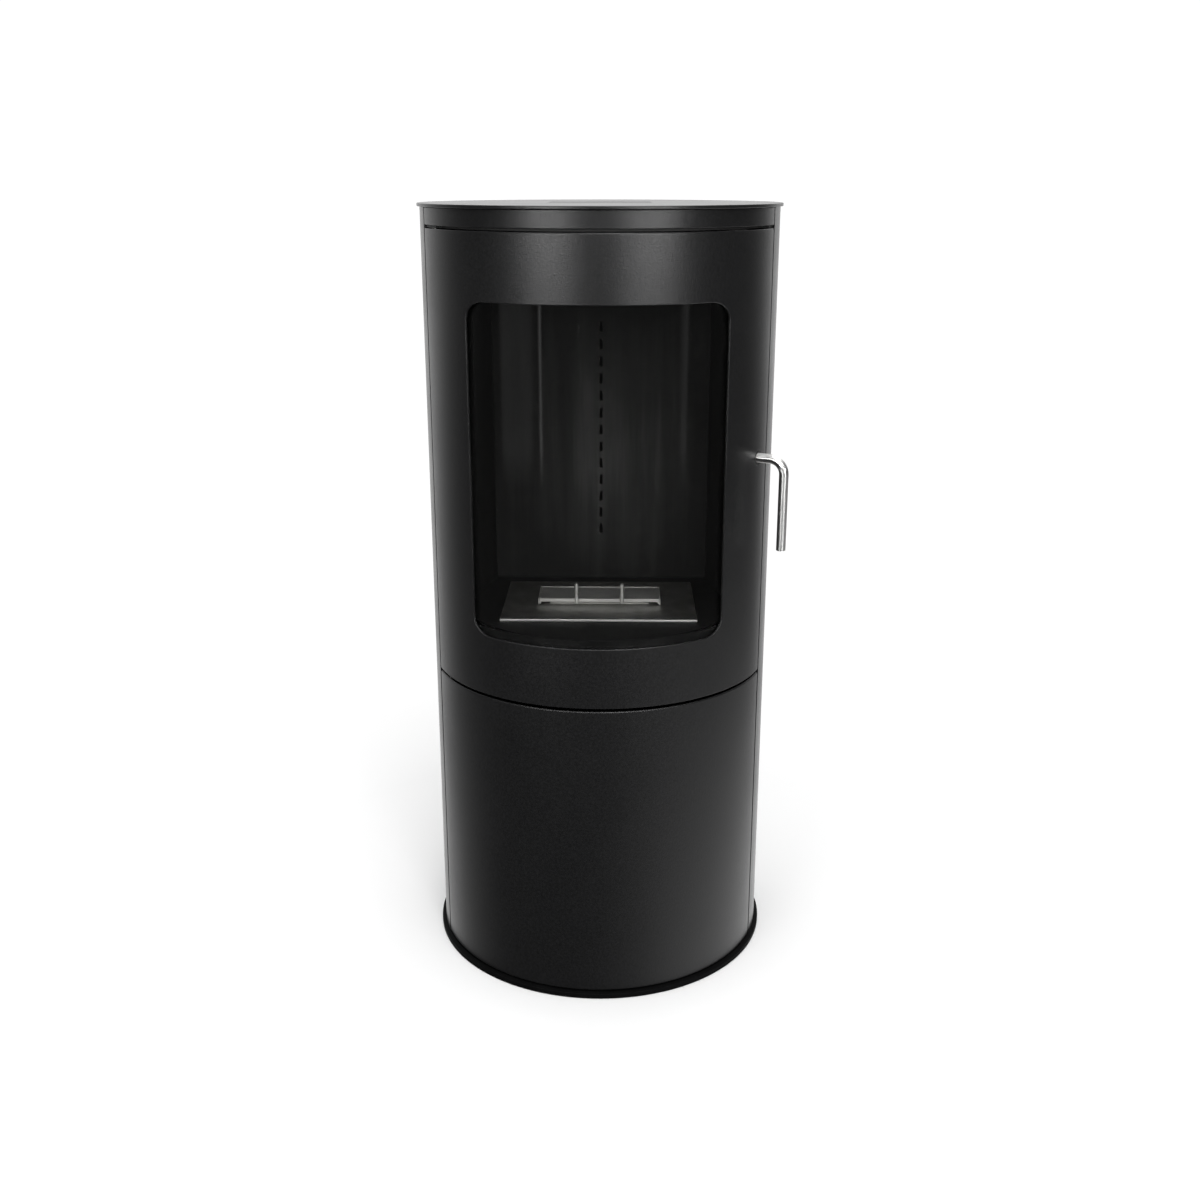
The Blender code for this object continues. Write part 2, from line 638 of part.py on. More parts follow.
def build_handle(door_axis, handle_axis):
    """The handle turns in the fire door and swings the latch tongue behind it."""
    lever = handle_rod()
    frame = facing(HANDLE_AZ, 0.0, HANDLE_Z)
    half = TONGUE_WIDTH / 2
    outline = [(-half, -half), (TONGUE_LENGTH - 4 * MM, -half), (TONGUE_LENGTH, -half + 4 * MM),
               (TONGUE_LENGTH, half), (-half, half)]
    tongue_low = SPINDLE_SHOULDER_R - GAP - TONGUE_T
    tongue = prism("latch_tongue", outline, tongue_low, tongue_low + TONGUE_T, "plated_steel", frame)
    tongue_hole = rod("tongue_hole", THREAD_R + GAP, tongue_low - 3 * MM, tongue_low + 6 * MM, None, frame)
    cut(tongue, tongue_hole)

    washer_top = tongue_low - GAP
    washer = tube("latch_washer", THREAD_R + GAP, 8 * MM, washer_top - 1.5 * MM, washer_top,
                  "plated_steel", frame)

    nut_top = washer_top - 1.5 * MM - GAP
    nut = rod("latch_nut", 7.5 * MM, nut_top - 6.5 * MM, nut_top, "plated_steel", frame, sides=6)
    nut_hole = rod("nut_hole", THREAD_R + GAP, nut_top - 10 * MM, nut_top + 3 * MM, None, frame)
    cut(nut, nut_hole)

    handle_axis.parent = door_axis
    carried = (lever, tongue, tongue_hole, washer, nut, nut_hole)
    hang_on(handle_axis, *carried)
    handle_axis.location = handle_axis.location - door_axis.location


def build_lower_door(axis):
    """The storage door: rolled panel, lugs and the magnet's strike plate."""
    panel = curved_panel("lower_door_panel", (PANEL_IN, DRUM_R), (-FRONT_AZ, FRONT_AZ), LOWER_DOOR_Z,
                         "black_powder_coat")
    strike = curved_panel("magnet_strike", (219.5 * MM, 221.5 * MM), (64.5, 69.0), (342 * MM, 370 * MM),
                          "plated_steel")
    lower_z, upper_z = LOWER_LUG_Z
    lugs = door_lug("lower_door_lower_lug", lower_z) + door_lug("lower_door_upper_lug", upper_z)
    hang_on(axis, panel, strike, *lugs)


def build_burner(axis):
    """The burner insert: tank, top plate, mouth collar and the absorbent core."""
    half_x, half_y = PLATE_HALF
    skirt, skin = 2 * MM, 1.5 * MM
    bottom = HEARTH_Z[1] + GAP
    plate = box("burner_top_plate", (-half_x, PLATE_Y - half_y, bottom),
                (half_x, PLATE_Y + half_y, PLATE_TOP), "stainless_steel")
    hollow = box("burner_plate_hollow", (-half_x + skirt, PLATE_Y - half_y + skirt, bottom - 5 * MM),
                 (half_x - skirt, PLATE_Y + half_y - skirt, PLATE_TOP - skin), None)
    mouth = box("burner_mouth", (-MOUTH_HALF[0], BURNER_Y - MOUTH_HALF[1], bottom - 5 * MM),
                (MOUTH_HALF[0], BURNER_Y + MOUTH_HALF[1], PLATE_TOP + 5 * MM), None)
    cut(plate, hollow, mouth)

    tank_top = PLATE_TOP - skin - GAP
    tank_x, tank_y = TANK_HALF
    tank = box("burner_tank", (-tank_x, PLATE_Y - tank_y, TANK_BOTTOM), (tank_x, PLATE_Y + tank_y, tank_top),
               "stainless_steel")
    inside = box("tank_inside", (-tank_x + TANK_WALL, PLATE_Y - tank_y + TANK_WALL, TANK_BOTTOM + TANK_WALL),
                 (tank_x - TANK_WALL, PLATE_Y + tank_y - TANK_WALL, tank_top + 5 * MM), None)
    cut(tank, inside)

    inset = TANK_WALL + 1 * MM
    wool = box("burner_ceramic_core", (-tank_x + inset, PLATE_Y - tank_y + inset, TANK_BOTTOM + inset),
               (tank_x - inset, PLATE_Y + tank_y - inset, 470 * MM), "ceramic_wool")

    base = PLATE_TOP + GAP
    profile = [(0.0, base), (COLLAR_FOOT, base), (COLLAR_FOOT, COLLAR_FOOT_TOP),
               (COLLAR_WALL, COLLAR_FOOT_TOP), (COLLAR_WALL, COLLAR_TOP), (0.0, COLLAR_TOP)]
    collar = rectangular_ring("burner_collar", (0.0, BURNER_Y), MOUTH_HALF, profile, "stainless_steel")
    hang_on(axis, plate, hollow, mouth, tank, inside, wool, collar, lid_guide())


def lid_guide():
    """A thin rail round the two sides and the back of the lid."""
    inner = LID_HALF_X + 2 * GAP
    outer = inner + GUIDE_WALL
    front, back = LID_Y[0], LID_Y[1] + 2 * GAP
    outline = [(-outer, front), (-inner, front), (-inner, back), (inner, back), (inner, front),
               (outer, front), (outer, back + GUIDE_WALL), (-outer, back + GUIDE_WALL)]
    return prism("lid_guide", outline, PLATE_TOP + GAP, GUIDE_TOP, "stainless_steel")


def build_lid(burner_axis, axis):
    """The sliding lid: a shallow cover over the collar, with two posts to push it by."""
    lid = box("burner_lid", (-LID_HALF_X, LID_Y[0], LID_Z[0]), (LID_HALF_X, LID_Y[1], LID_Z[1]),
              "stainless_steel")
    inner_x = LID_HALF_X - LID_WALL
    past = 5 * MM
    under_lip = box("lid_under_lip", (-inner_x, LID_Y[0] - past, LID_Z[0] - past),
                    (inner_x, LID_Y[1] + past, LID_LIP_Z), None)
    space = box("lid_space", (-inner_x, LID_Y[0] + LID_WALL, LID_LIP_Z - 1 * MM),
                (inner_x, LID_Y[1] + past, LID_Z[1] - LID_WALL), None)
    cut(lid, under_lip, space)

    posts = []
    for side, label in ((-1, "left"), (1, "right")):
        frame = upright_frame((side * POST_X, LID_Y[0] - GAP - POST_R, 0.0))
        profile = [(POST_R, POST_Z[0]), (POST_R, POST_Z[1] - 0.6 * MM), (POST_R - 0.6 * MM, POST_Z[1])]
        posts.append(turned("lid_post_" + label, profile, "stainless_steel", frame, sides=16))

    hang_on(axis, lid, under_lip, space, *posts)
    axis.parent = burner_axis
    axis.location = axis.location - burner_axis.location


def main():
    clear_scene()
    hinge_foot = polar(HINGE_R, HINGE_AZ)
    fire_door_axis = joint_axis("fire_door_axis", hinge_foot + Vector((0.0, 0.0, FIRE_DOOR_Z[0])))
    lower_door_axis = joint_axis("lower_door_axis", hinge_foot + Vector((0.0, 0.0, LOWER_DOOR_Z[0])))
    handle_axis = joint_axis("handle_axis", polar(DRUM_R, HANDLE_AZ, HANDLE_Z))
    burner_axis = joint_axis("burner_axis", Vector((0.0, PLATE_Y, PLATE_TOP)))
    lid_axis = joint_axis("lid_axis", Vector((0.0, LID_Y[0], LID_Z[0])))

    build_drum()
    build_uprights()
    build_hinge_pins()
    build_chamber()
    build_catches()
    build_fire_door(fire_door_axis)
    build_handle(fire_door_axis, handle_axis)
    build_lower_door(lower_door_axis)
    build_burner(burner_axis)
    build_lid(burner_axis, lid_axis)


main()
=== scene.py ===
"""Looks for the free-standing round stove: fine meshes, procedural materials, light and camera.

Metres, +Z up, front towards -Y. Azimuth is measured round the drum, 0 at the front and positive towards +X.
"""

import json
import math

import bmesh
import bpy
from mathutils import Matrix, Vector, noise

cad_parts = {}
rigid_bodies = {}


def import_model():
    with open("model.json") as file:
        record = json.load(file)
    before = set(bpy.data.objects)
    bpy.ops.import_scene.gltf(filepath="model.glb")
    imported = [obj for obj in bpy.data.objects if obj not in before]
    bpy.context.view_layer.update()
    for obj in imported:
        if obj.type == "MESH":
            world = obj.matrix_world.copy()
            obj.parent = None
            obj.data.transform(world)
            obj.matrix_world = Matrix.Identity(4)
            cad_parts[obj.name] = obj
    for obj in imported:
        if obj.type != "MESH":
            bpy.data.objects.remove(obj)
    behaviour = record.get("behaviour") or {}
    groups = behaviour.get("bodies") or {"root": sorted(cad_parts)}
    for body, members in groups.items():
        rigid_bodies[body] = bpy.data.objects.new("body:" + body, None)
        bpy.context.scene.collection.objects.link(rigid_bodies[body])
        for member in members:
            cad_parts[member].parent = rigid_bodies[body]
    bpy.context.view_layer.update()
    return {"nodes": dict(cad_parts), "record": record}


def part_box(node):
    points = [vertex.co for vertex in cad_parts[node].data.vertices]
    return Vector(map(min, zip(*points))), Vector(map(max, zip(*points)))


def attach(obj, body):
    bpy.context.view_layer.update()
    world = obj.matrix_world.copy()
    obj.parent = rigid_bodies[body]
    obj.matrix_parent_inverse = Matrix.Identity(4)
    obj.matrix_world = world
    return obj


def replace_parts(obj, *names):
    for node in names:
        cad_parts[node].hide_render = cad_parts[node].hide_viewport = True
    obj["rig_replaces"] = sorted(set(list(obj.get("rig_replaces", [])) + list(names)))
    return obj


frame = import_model()

MM = 0.001
BODIES = frame["record"]["behaviour"]["bodies"]
BODY_OF = {node: body for body, members in BODIES.items() for node in members}
SLOT_OF = {part["node"]: part["material_slot"] for part in frame["record"]["subparts"]}

# The drum. Its radii are read from the frame
DRUM_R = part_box("outer_shell")[1].y
SHEET = 2 * MM
FRONT_SHEET = 3 * MM
TOP_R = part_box("top_plate")[1].x
PLINTH_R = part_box("base_plate")[1].x
FRONT_AZ = math.degrees(math.asin(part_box("fire_door_panel")[1].x / DRUM_R))
SHELL_AZ = 70.1
EDGE = 0.5 * MM
DOOR_EDGE = 1.45 * MM
DISC_EDGE = 0.8 * MM
ROLL_STEP = 1.5
DISC_SIDES = 240

# How far a cutter runs past the sheet that it goes through
PAST = 5 * MM

# Air slots: length and height, pitch, and the place of the first or middle row
SHELL_SLOT = (49.4 * MM, 6 * MM)
SHELL_SLOT_PITCH = 14 * MM
SHELL_SLOT_Z = 418 * MM
SHELL_SLOT_ARC = 52.8 * MM
SHELL_SLOT_ROWS = 6
TOP_SLOT = (130 * MM, 8 * MM)
TOP_SLOT_PITCH = 18 * MM

# The window and its glass
WINDOW_AZ = 43.5
WINDOW_INSET = 18 * MM
WINDOW_CORNER = 22 * MM
GLASS_R = (216.5 * MM, 220.5 * MM)
GLASS_AZ = 48.5
GLASS_EDGE = 0.6 * MM
GASKET_R = (220.9 * MM, 221.5 * MM)
GASKET_AZ = 47.8
GASKET_EDGE = 0.2 * MM
GASKET_WINDOW_AZ = WINDOW_AZ + 0.9
GASKET_WINDOW_INSET = WINDOW_INSET - 3.5 * MM
RETAINER_R = (213.9 * MM, 216.2 * MM, 219.0 * MM, 221.5 * MM)
RETAINER_AZ = 46.5
RETAINER_LIP_TOP = 12 * MM
RETAINER_LIP_BOTTOM = 27 * MM
RETAINER_STEPS = (0.8 * MM, 3.5 * MM, 17 * MM)

# The handle
HANDLE_AZ = 62.0
HANDLE_Z = 697 * MM
ROD_R = 6 * MM
THREAD_R = 4 * MM
LEVER_R = 260 * MM
BEND_R = 18 * MM
SHOULDER_R = 203.5 * MM
SPINDLE_END_R = 187 * MM
HANDLE_HOLE_R = 9.3 * MM
HANDLE_HOLE_SIDES = 32
BEND_STEPS = 28
ROD_SIDES = 48

# The bush in the door, the washer and the nut. Reaches are distances from the drum's axis
BUSH_R = (6.3 * MM, 9 * MM, 14 * MM)
BUSH_REACH = (206 * MM, 218 * MM, 221 * MM, 224.8 * MM)
WASHER_R = 8 * MM
WASHER_T = 1.5 * MM
NUT_R = 7.5 * MM
NUT_H = 6.5 * MM

# Inside the drum
DECK_R = 222.4 * MM
DECK_FRONT_R = 214 * MM
DECK_FRONT_AZ = (-60.0, 66.0)
HINGE_AZ = -66.0
HINGE_R = 216 * MM
HINGE_HOLE_R = 3.3 * MM
HEARTH_R = 190 * MM
TANK_CLEARANCE = 3 * MM
DECK_OUTLET = ((-110 * MM, -100 * MM), (110 * MM, 120 * MM))
ROOF_OUTLET = ((-80 * MM, 0.0), (80 * MM, 60 * MM))

# Hinge pins: radius, collar radius, and each pin's collar from seat to top
PIN_R = 3 * MM
PIN_COLLAR_R = 5.2 * MM
PIN_POINT = 1 * MM
PIN_CHAMFER = 0.4 * MM
PIN_COLLARS = {
    "hinge_pin_bottom": (7.3 * MM, 15.7 * MM),
    "hinge_pin_middle": (406.8 * MM, 414.7 * MM),
    "hinge_pin_top": (975.4 * MM, 977.4 * MM),
}

# The burner
PLATE_SKIRT = 2 * MM
BURNER_SHEET = 1.5 * MM
COLLAR_FOOT = 6 * MM
COLLAR_FOOT_TOP = 489.0 * MM
LID_WALL = 1.5 * MM
LID_LIP_Z = 491.9 * MM


# ---------------------------------------------------------------- mesh tools

def polar(radius, azimuth, z=0.0):
    angle = math.radians(azimuth)
    return Vector((radius * math.sin(angle), -radius * math.cos(angle), z))


def facing(azimuth, z=0.0):
    """A frame on the stove's axis: X to the right seen from outside, Y up and Z outwards."""
    angle = math.radians(azimuth)
    right = Vector((math.cos(angle), math.sin(angle), 0.0))
    outward = Vector((math.sin(angle), -math.cos(angle), 0.0))
    turn = Matrix((right, Vector((0.0, 0.0, 1.0)), outward)).transposed().to_4x4()
    return Matrix.Translation((0.0, 0.0, z)) @ turn


def link_mesh(name, bm):
    bmesh.ops.recalc_face_normals(bm, faces=bm.faces)
    mesh = bpy.data.meshes.new(name)
    bm.to_mesh(mesh)
    bm.free()
    item = bpy.data.objects.new(name, mesh)
    bpy.context.scene.collection.objects.link(item)
    return item


def skin(bm, loops, around, ends):
    """Skins a row of vertex loops. around closes the row into a ring; ends caps it."""
    count = len(loops)
    for i in range(count if around else count - 1):
        first, second = loops[i], loops[(i + 1) % count]
        for j in range(len(first)):
            k = (j + 1) % len(first)
            bm.faces.new((first[j], first[k], second[k], second[j]))
    if ends:
        bm.faces.new(loops[0][::-1])
        bm.faces.new(loops[-1])


def prism(name, outline, low, high, place=None):
    place = place or Matrix.Identity(4)
    bm = bmesh.new()
    loops = [[bm.verts.new(place @ Vector((x, y, h))) for x, y in outline] for h in (low, high)]
    skin(bm, loops, around=False, ends=True)
    return link_mesh(name, bm)


def block(name, low, high):
    outline = [(low[0], low[1]), (high[0], low[1]), (high[0], high[1]), (low[0], high[1])]
    return prism(name, outline, low[2], high[2])


def turned(name, profile, place, closed=False, sides=48):
    """Turns (radius, height) points about a frame's Z."""
    bm = bmesh.new()
    loops = []
    for radius, height in profile:
        angles = [2 * math.pi * i / sides for i in range(sides)]
        ring = [Vector((radius * math.cos(a), radius * math.sin(a), height)) for a in angles]
        loops.append([bm.verts.new(place @ p) for p in ring])
    skin(bm, loops, around=closed, ends=not closed)
    return link_mesh(name, bm)


def apply_modifiers(item):
    evaluated = item.evaluated_get(bpy.context.evaluated_depsgraph_get())
    mesh = bpy.data.meshes.new_from_object(evaluated)
    old = item.data
    item.modifiers.clear()
    item.data = mesh
    mesh.name = item.name
    bpy.data.meshes.remove(old)
    return item


def subtract(item, cutters):
    """Takes the cutters out of a piece for good."""
    for cutter in cutters:
        modifier = item.modifiers.new("cut", "BOOLEAN")
        modifier.operation = "DIFFERENCE"
        modifier.solver = "EXACT"
        modifier.object = cutter
    apply_modifiers(item)
    for cutter in cutters:
        bpy.data.objects.remove(cutter, do_unlink=True)
    return item


def soften(item, width=EDGE, segments=2, angle=35.0):
    """Rounds every real edge, as deburred and coated sheet has."""
    modifier = item.modifiers.new("edges", "BEVEL")
    modifier.width = width
    modifier.segments = segments
    modifier.limit_method = "ANGLE"
    modifier.angle_limit = math.radians(angle)
    modifier.use_clamp_overlap = True
    return apply_modifiers(item)


def shade(item, true_normal=None, sharp=50.0):
    """Smooth corner normals that large faces dominate, so that flats stay flat and only edges turn."""
    mesh = item.data
    mesh.shade_smooth()
    limit = math.cos(math.radians(sharp))
    sums = [Vector() for _ in mesh.vertices]
    for polygon in mesh.polygons:
        weight = polygon.area ** 2
        for index in polygon.vertices:
            normal = polygon.normal
            if true_normal:
                normal = true_normal(mesh.vertices[index].co, normal)
            sums[index] += normal * weight
    corners = []
    for polygon in mesh.polygons:
        for index in polygon.vertices:
            own = polygon.normal
            if true_normal:
                own = true_normal(mesh.vertices[index].co, own)
            total = sums[index].normalized()
            corners.append(total if total.dot(own) > limit else own)
    mesh.normals_split_custom_set(corners)
    return item


def drum_normal(point, normal):
    """A face that lies round the drum's axis gets the exact normal of the cylinder."""
    radial = Vector((point.x, point.y, 0.0)).normalized()
    along = radial.dot(normal)
    if abs(along) > math.cos(math.radians(2.5)):
        return radial if along > 0 else -radial
    return normal


def rolled_sheet(name, radii, azimuths, heights, holes=(), edge=EDGE):
    """A sheet cut flat, with its holes and rounded edges, and then rolled round the drum's axis.

    holes are outlines in (arc length at the outer face, height).
    """
    inner, outer = radii
    start, end = (math.radians(a) * outer for a in azimuths)
    outline = [(start, 0.0), (end, 0.0), (end, outer - inner), (start, outer - inner)]
    sheet = prism(name, outline, heights[0], heights[1])
    through = Matrix(((1, 0, 0, 0), (0, 0, 1, 0), (0, 1, 0, 0), (0, 0, 0, 1)))
    cutters = [prism("hole", hole, -10 * MM, 20 * MM, through) for hole in holes]
    if cutters:
        subtract(sheet, cutters)
    soften(sheet, edge)
    bm = bmesh.new()
    bm.from_mesh(sheet.data)
    count = math.ceil((azimuths[1] - azimuths[0]) / ROLL_STEP)
    for i in range(1, count):
        u = start + (end - start) * i / count
        everything = bm.verts[:] + bm.edges[:] + bm.faces[:]
        bmesh.ops.bisect_plane(bm, geom=everything, dist=1e-6, plane_co=(u, 0, 0), plane_no=(1, 0, 0))
    for vertex in bm.verts:
        radius = outer - vertex.co.y
        vertex.co = polar(radius, math.degrees(vertex.co.x / outer), vertex.co.z)
    bmesh.ops.recalc_face_normals(bm, faces=bm.faces)
    bm.to_mesh(sheet.data)
    bm.free()
    return shade(sheet, drum_normal)


def rounded_rectangle(centre, half, corner, steps=12):
    points = []
    for quarter, (sx, sy) in enumerate(((1, 1), (-1, 1), (-1, -1), (1, -1))):
        cx = centre[0] + sx * (half[0] - corner)
        cy = centre[1] + sy * (half[1] - corner)
        for i in range(steps + 1):
            angle = math.pi / 2 * (quarter + i / steps)
            points.append((cx + corner * math.cos(angle), cy + corner * math.sin(angle)))
    return points


def slot_outline(centre, length, height):
    """A slot with nearly round ends."""
    return rounded_rectangle(centre, (length / 2, height / 2), height * 0.49, steps=6)


def disc(name, radius, low, high, holes=(), edge=EDGE):
    round_outline = [polar(radius, 360 * i / DISC_SIDES).to_2d() for i in range(DISC_SIDES)]
    item = prism(name, round_outline, low, high)
    if holes:
        subtract(item, [prism("hole", hole, low - PAST, high + PAST) for hole in holes])
    return shade(soften(item, edge, segments=3))


# ---------------------------------------------------------------- materials

# Painted light: the middle and the reach of a pool of light painted paler onto the chamber's back panel
PAINTED_LIGHT_CENTRE = (0.0, 87 * MM, 680 * MM)
PAINTED_LIGHT_REACH = (0.13, 1.0, 0.17)


def principled(name):
    material = bpy.data.materials.new(name)
    material.use_nodes = True
    tree = material.node_tree
    return material, tree, tree.nodes["Principled BSDF"]


def coordinates(tree, stretch=(1.0, 1.0, 1.0)):
    """Object coordinates in metres, squeezed along some axes for brushed or streaked looks."""
    source = tree.nodes.new("ShaderNodeTexCoord")
    mapping = tree.nodes.new("ShaderNodeMapping")
    mapping.inputs["Scale"].default_value = stretch
    tree.links.new(source.outputs["Object"], mapping.inputs["Vector"])
    return mapping.outputs["Vector"]


def noise_value(tree, vector, scale, detail=2.0, roughness=0.5):
    texture = tree.nodes.new("ShaderNodeTexNoise")
    texture.inputs["Scale"].default_value = scale
    texture.inputs["Detail"].default_value = detail
    texture.inputs["Roughness"].default_value = roughness
    tree.links.new(vector, texture.inputs["Vector"])
    return texture.outputs["Fac"]


def between(tree, value, low, high, source=(0.3, 0.7)):
    """Maps a 0 to 1 pattern onto a range of numbers."""
    node = tree.nodes.new("ShaderNodeMapRange")
    node.inputs["From Min"].default_value = source[0]
    node.inputs["From Max"].default_value = source[1]
    node.inputs["To Min"].default_value = low
    node.inputs["To Max"].default_value = high
    tree.links.new(value, node.inputs["Value"])
    return node.outputs["Result"]


def colours(tree, value, *stops):
    """A colour ramp of (position, (r, g, b)) stops."""
    node = tree.nodes.new("ShaderNodeValToRGB")
    ramp = node.color_ramp
    while len(ramp.elements) < len(stops):
        ramp.elements.new(1.0)
    for element, (position, colour) in zip(ramp.elements, stops):
        element.position = position
        element.color = (*colour, 1.0)
    tree.links.new(value, node.inputs["Fac"])
    return node.outputs["Color"]


def math_node(tree, operation, first, second):
    node = tree.nodes.new("ShaderNodeMath")
    node.operation = operation
    for socket, value in zip(node.inputs, (first, second)):
        if isinstance(value, float):
            socket.default_value = value
        else:
            tree.links.new(value, socket)
    return node.outputs["Value"]


def bump(tree, shader, height, distance, strength=1.0, under=None):
    node = tree.nodes.new("ShaderNodeBump")
    node.inputs["Distance"].default_value = distance
    node.inputs["Strength"].default_value = strength
    tree.links.new(height, node.inputs["Height"])
    if under:
        tree.links.new(under, node.inputs["Normal"])
    tree.links.new(node.outputs["Normal"], shader.inputs["Normal"])
    return node.outputs["Normal"]


def powder_coat(name, dark, light, roughness):
    """Satin powder coat: an orange-peel grain of a millimetre or two over a slow change of gloss."""
    material, tree, shader = principled(name)
    place = coordinates(tree)
    peel = noise_value(tree, place, 420, detail=3.0, roughness=0.6)
    grain = noise_value(tree, place, 1300, detail=2.0)
    cloud = noise_value(tree, place, 14, detail=3.0)
    speck = noise_value(tree, place, 330, detail=3.0, roughness=0.6)
    base = colours(tree, speck, (0.35, dark), (0.65, light))
    tree.links.new(base, shader.inputs["Base Color"])
    gloss = math_node(tree, "ADD", between(tree, cloud, roughness - 0.02, roughness + 0.02),
                      between(tree, speck, -0.025, 0.025, (0.35, 0.65)))
    tree.links.new(gloss, shader.inputs["Roughness"])
    shader.inputs["IOR"].default_value = 1.5
    first = bump(tree, shader, grain, 0.02 * MM)
    bump(tree, shader, peel, 0.12 * MM, under=first)
    return material


def matt_paint(name, dark, light, roughness, specular=0.5):
    """Matt paint on the parts inside the drum, with a slightly dusty surface."""
    material, tree, shader = principled(name)
    place = coordinates(tree)
    grain = noise_value(tree, place, 900, detail=2.0)
    dust = noise_value(tree, place, 30, detail=4.0, roughness=0.6)
    tree.links.new(colours(tree, dust, (0.35, dark), (0.75, light)), shader.inputs["Base Color"])
    tree.links.new(between(tree, dust, roughness - 0.06, roughness + 0.06), shader.inputs["Roughness"])
    shader.inputs["Specular IOR Level"].default_value = specular
    bump(tree, shader, grain, 0.04 * MM)
    return material


def heat_paint(name, paleness, lit_patch=False):
    """Heat-resistant black in soft upright streaks. The last flag paints a pool of light onto it, paler
    towards the middle of the chamber.
    """
    material, tree, shader = principled(name)
    streaks = noise_value(tree, coordinates(tree, (1.0, 1.0, 0.05)), 42, detail=4.0, roughness=0.6)
    haze = noise_value(tree, coordinates(tree), 7, detail=3.0)
    grain = noise_value(tree, coordinates(tree), 800, detail=2.0)
    tone = streaks
    # Painted light: paint paler towards the middle of the back panel stands in for the light that falls
    # there through the window
    if lit_patch:
        around = tree.nodes.new("ShaderNodeMapping")
        around.vector_type = "TEXTURE"
        around.inputs["Location"].default_value = PAINTED_LIGHT_CENTRE
        around.inputs["Scale"].default_value = PAINTED_LIGHT_REACH
        source = tree.nodes.new("ShaderNodeTexCoord")
        tree.links.new(source.outputs["Object"], around.inputs["Vector"])
        reach = tree.nodes.new("ShaderNodeVectorMath")
        reach.operation = "LENGTH"
        tree.links.new(around.outputs["Vector"], reach.inputs[0])
        light_pool = between(tree, reach.outputs["Value"], 0.24, -0.3, (0.25, 1.15))
        tone = math_node(tree, "ADD", streaks, light_pool)
    stops = [(place, (paleness * v, paleness * v, paleness * v * 0.975))
             for place, v in ((0.25, 0.2), (0.6, 0.62), (0.85, 1.4))]
    tree.links.new(colours(tree, tone, *stops), shader.inputs["Base Color"])
    tree.links.new(between(tree, haze, 0.5, 0.68), shader.inputs["Roughness"])
    shader.inputs["Specular IOR Level"].default_value = 0.15
    bump(tree, shader, grain, 0.03 * MM)
    return material


def brushed_steel(name, colour, roughness, stretch, line_height=0.01 * MM):
    """Stainless steel with fine lines across the stretched axis and faint smears."""
    material, tree, shader = principled(name)
    lines = noise_value(tree, coordinates(tree, stretch), 1400, detail=3.0, roughness=0.6)
    smear = noise_value(tree, coordinates(tree), 22, detail=3.0, roughness=0.6)
    paler = tuple(min(1.0, c * 1.1) for c in colour)
    darker = tuple(c * 0.86 for c in colour)
    tree.links.new(colours(tree, lines, (0.3, darker), (0.7, paler)), shader.inputs["Base Color"])
    tree.links.new(between(tree, smear, roughness - 0.04, roughness + 0.06), shader.inputs["Roughness"])
    shader.inputs["Metallic"].default_value = 1.0
    bump(tree, shader, lines, line_height)
    return material


def ground_rod(name):
    """A stainless rod ground round and round, which draws reflections out along its length."""
    material, tree, shader = principled(name)
    source = tree.nodes.new("ShaderNodeTexCoord")
    parts = tree.nodes.new("ShaderNodeSeparateXYZ")
    tree.links.new(source.outputs["Object"], parts.inputs["Vector"])
    along = tree.nodes.new("ShaderNodeMix")
    along.data_type = "VECTOR"
    lever = between(tree, parts.outputs["Z"], 1.0, 0.0, (HANDLE_Z - BEND_R, HANDLE_Z - ROD_R))
    tree.links.new(lever, along.inputs["Factor"])
    along.inputs["A"].default_value = polar(1.0, HANDLE_AZ)
    along.inputs["B"].default_value = (0.0, 0.0, 1.0)
    turn = tree.nodes.new("ShaderNodeVectorTransform")
    turn.convert_from = "OBJECT"
    turn.convert_to = "WORLD"
    tree.links.new(along.outputs["Result"], turn.inputs["Vector"])
    tree.links.new(turn.outputs["Vector"], shader.inputs["Tangent"])
    smear = noise_value(tree, coordinates(tree), 40, detail=3.0, roughness=0.6)
    tint = colours(tree, smear, (0.3, (0.73, 0.73, 0.72)), (0.7, (0.78, 0.78, 0.77)))
    tree.links.new(tint, shader.inputs["Base Color"])
    shader.inputs["Roughness"].default_value = 0.31
    shader.inputs["Anisotropic"].default_value = 0.9
    shader.inputs["Metallic"].default_value = 1.0
    return material


def dulled_steel(name):
    """Brushed stainless steel with clouds of gloss, darker and greyer in clouds on the faces that point up.
    """
    material, tree, shader = principled(name)
    lines = noise_value(tree, coordinates(tree, (0.03, 1.0, 1.0)), 1200, detail=3.0, roughness=0.6)
    cloud_noise = noise_value(tree, coordinates(tree), 16, detail=5.0, roughness=0.6)
    upward_tone = colours(tree, cloud_noise, (0.35, (0.14, 0.135, 0.125)), (0.55, (0.25, 0.245, 0.235)),
                      (0.75, (0.36, 0.35, 0.335)))
    side_tone = colours(tree, lines, (0.3, (0.72, 0.71, 0.69)), (0.7, (0.84, 0.83, 0.81)))
    source = tree.nodes.new("ShaderNodeTexCoord")
    parts = tree.nodes.new("ShaderNodeSeparateXYZ")
    tree.links.new(source.outputs["Normal"], parts.inputs["Vector"])
    blend = tree.nodes.new("ShaderNodeMix")
    blend.data_type = "RGBA"
    tree.links.new(between(tree, parts.outputs["Z"], 0.0, 1.0, (0.75, 0.97)), blend.inputs["Factor"])
    tree.links.new(side_tone, blend.inputs["A"])
    tree.links.new(upward_tone, blend.inputs["B"])
    tree.links.new(blend.outputs["Result"], shader.inputs["Base Color"])
    tree.links.new(between(tree, cloud_noise, 0.46, 0.34), shader.inputs["Roughness"])
    shader.inputs["Metallic"].default_value = 1.0
    bump(tree, shader, lines, 0.008 * MM)
    return material


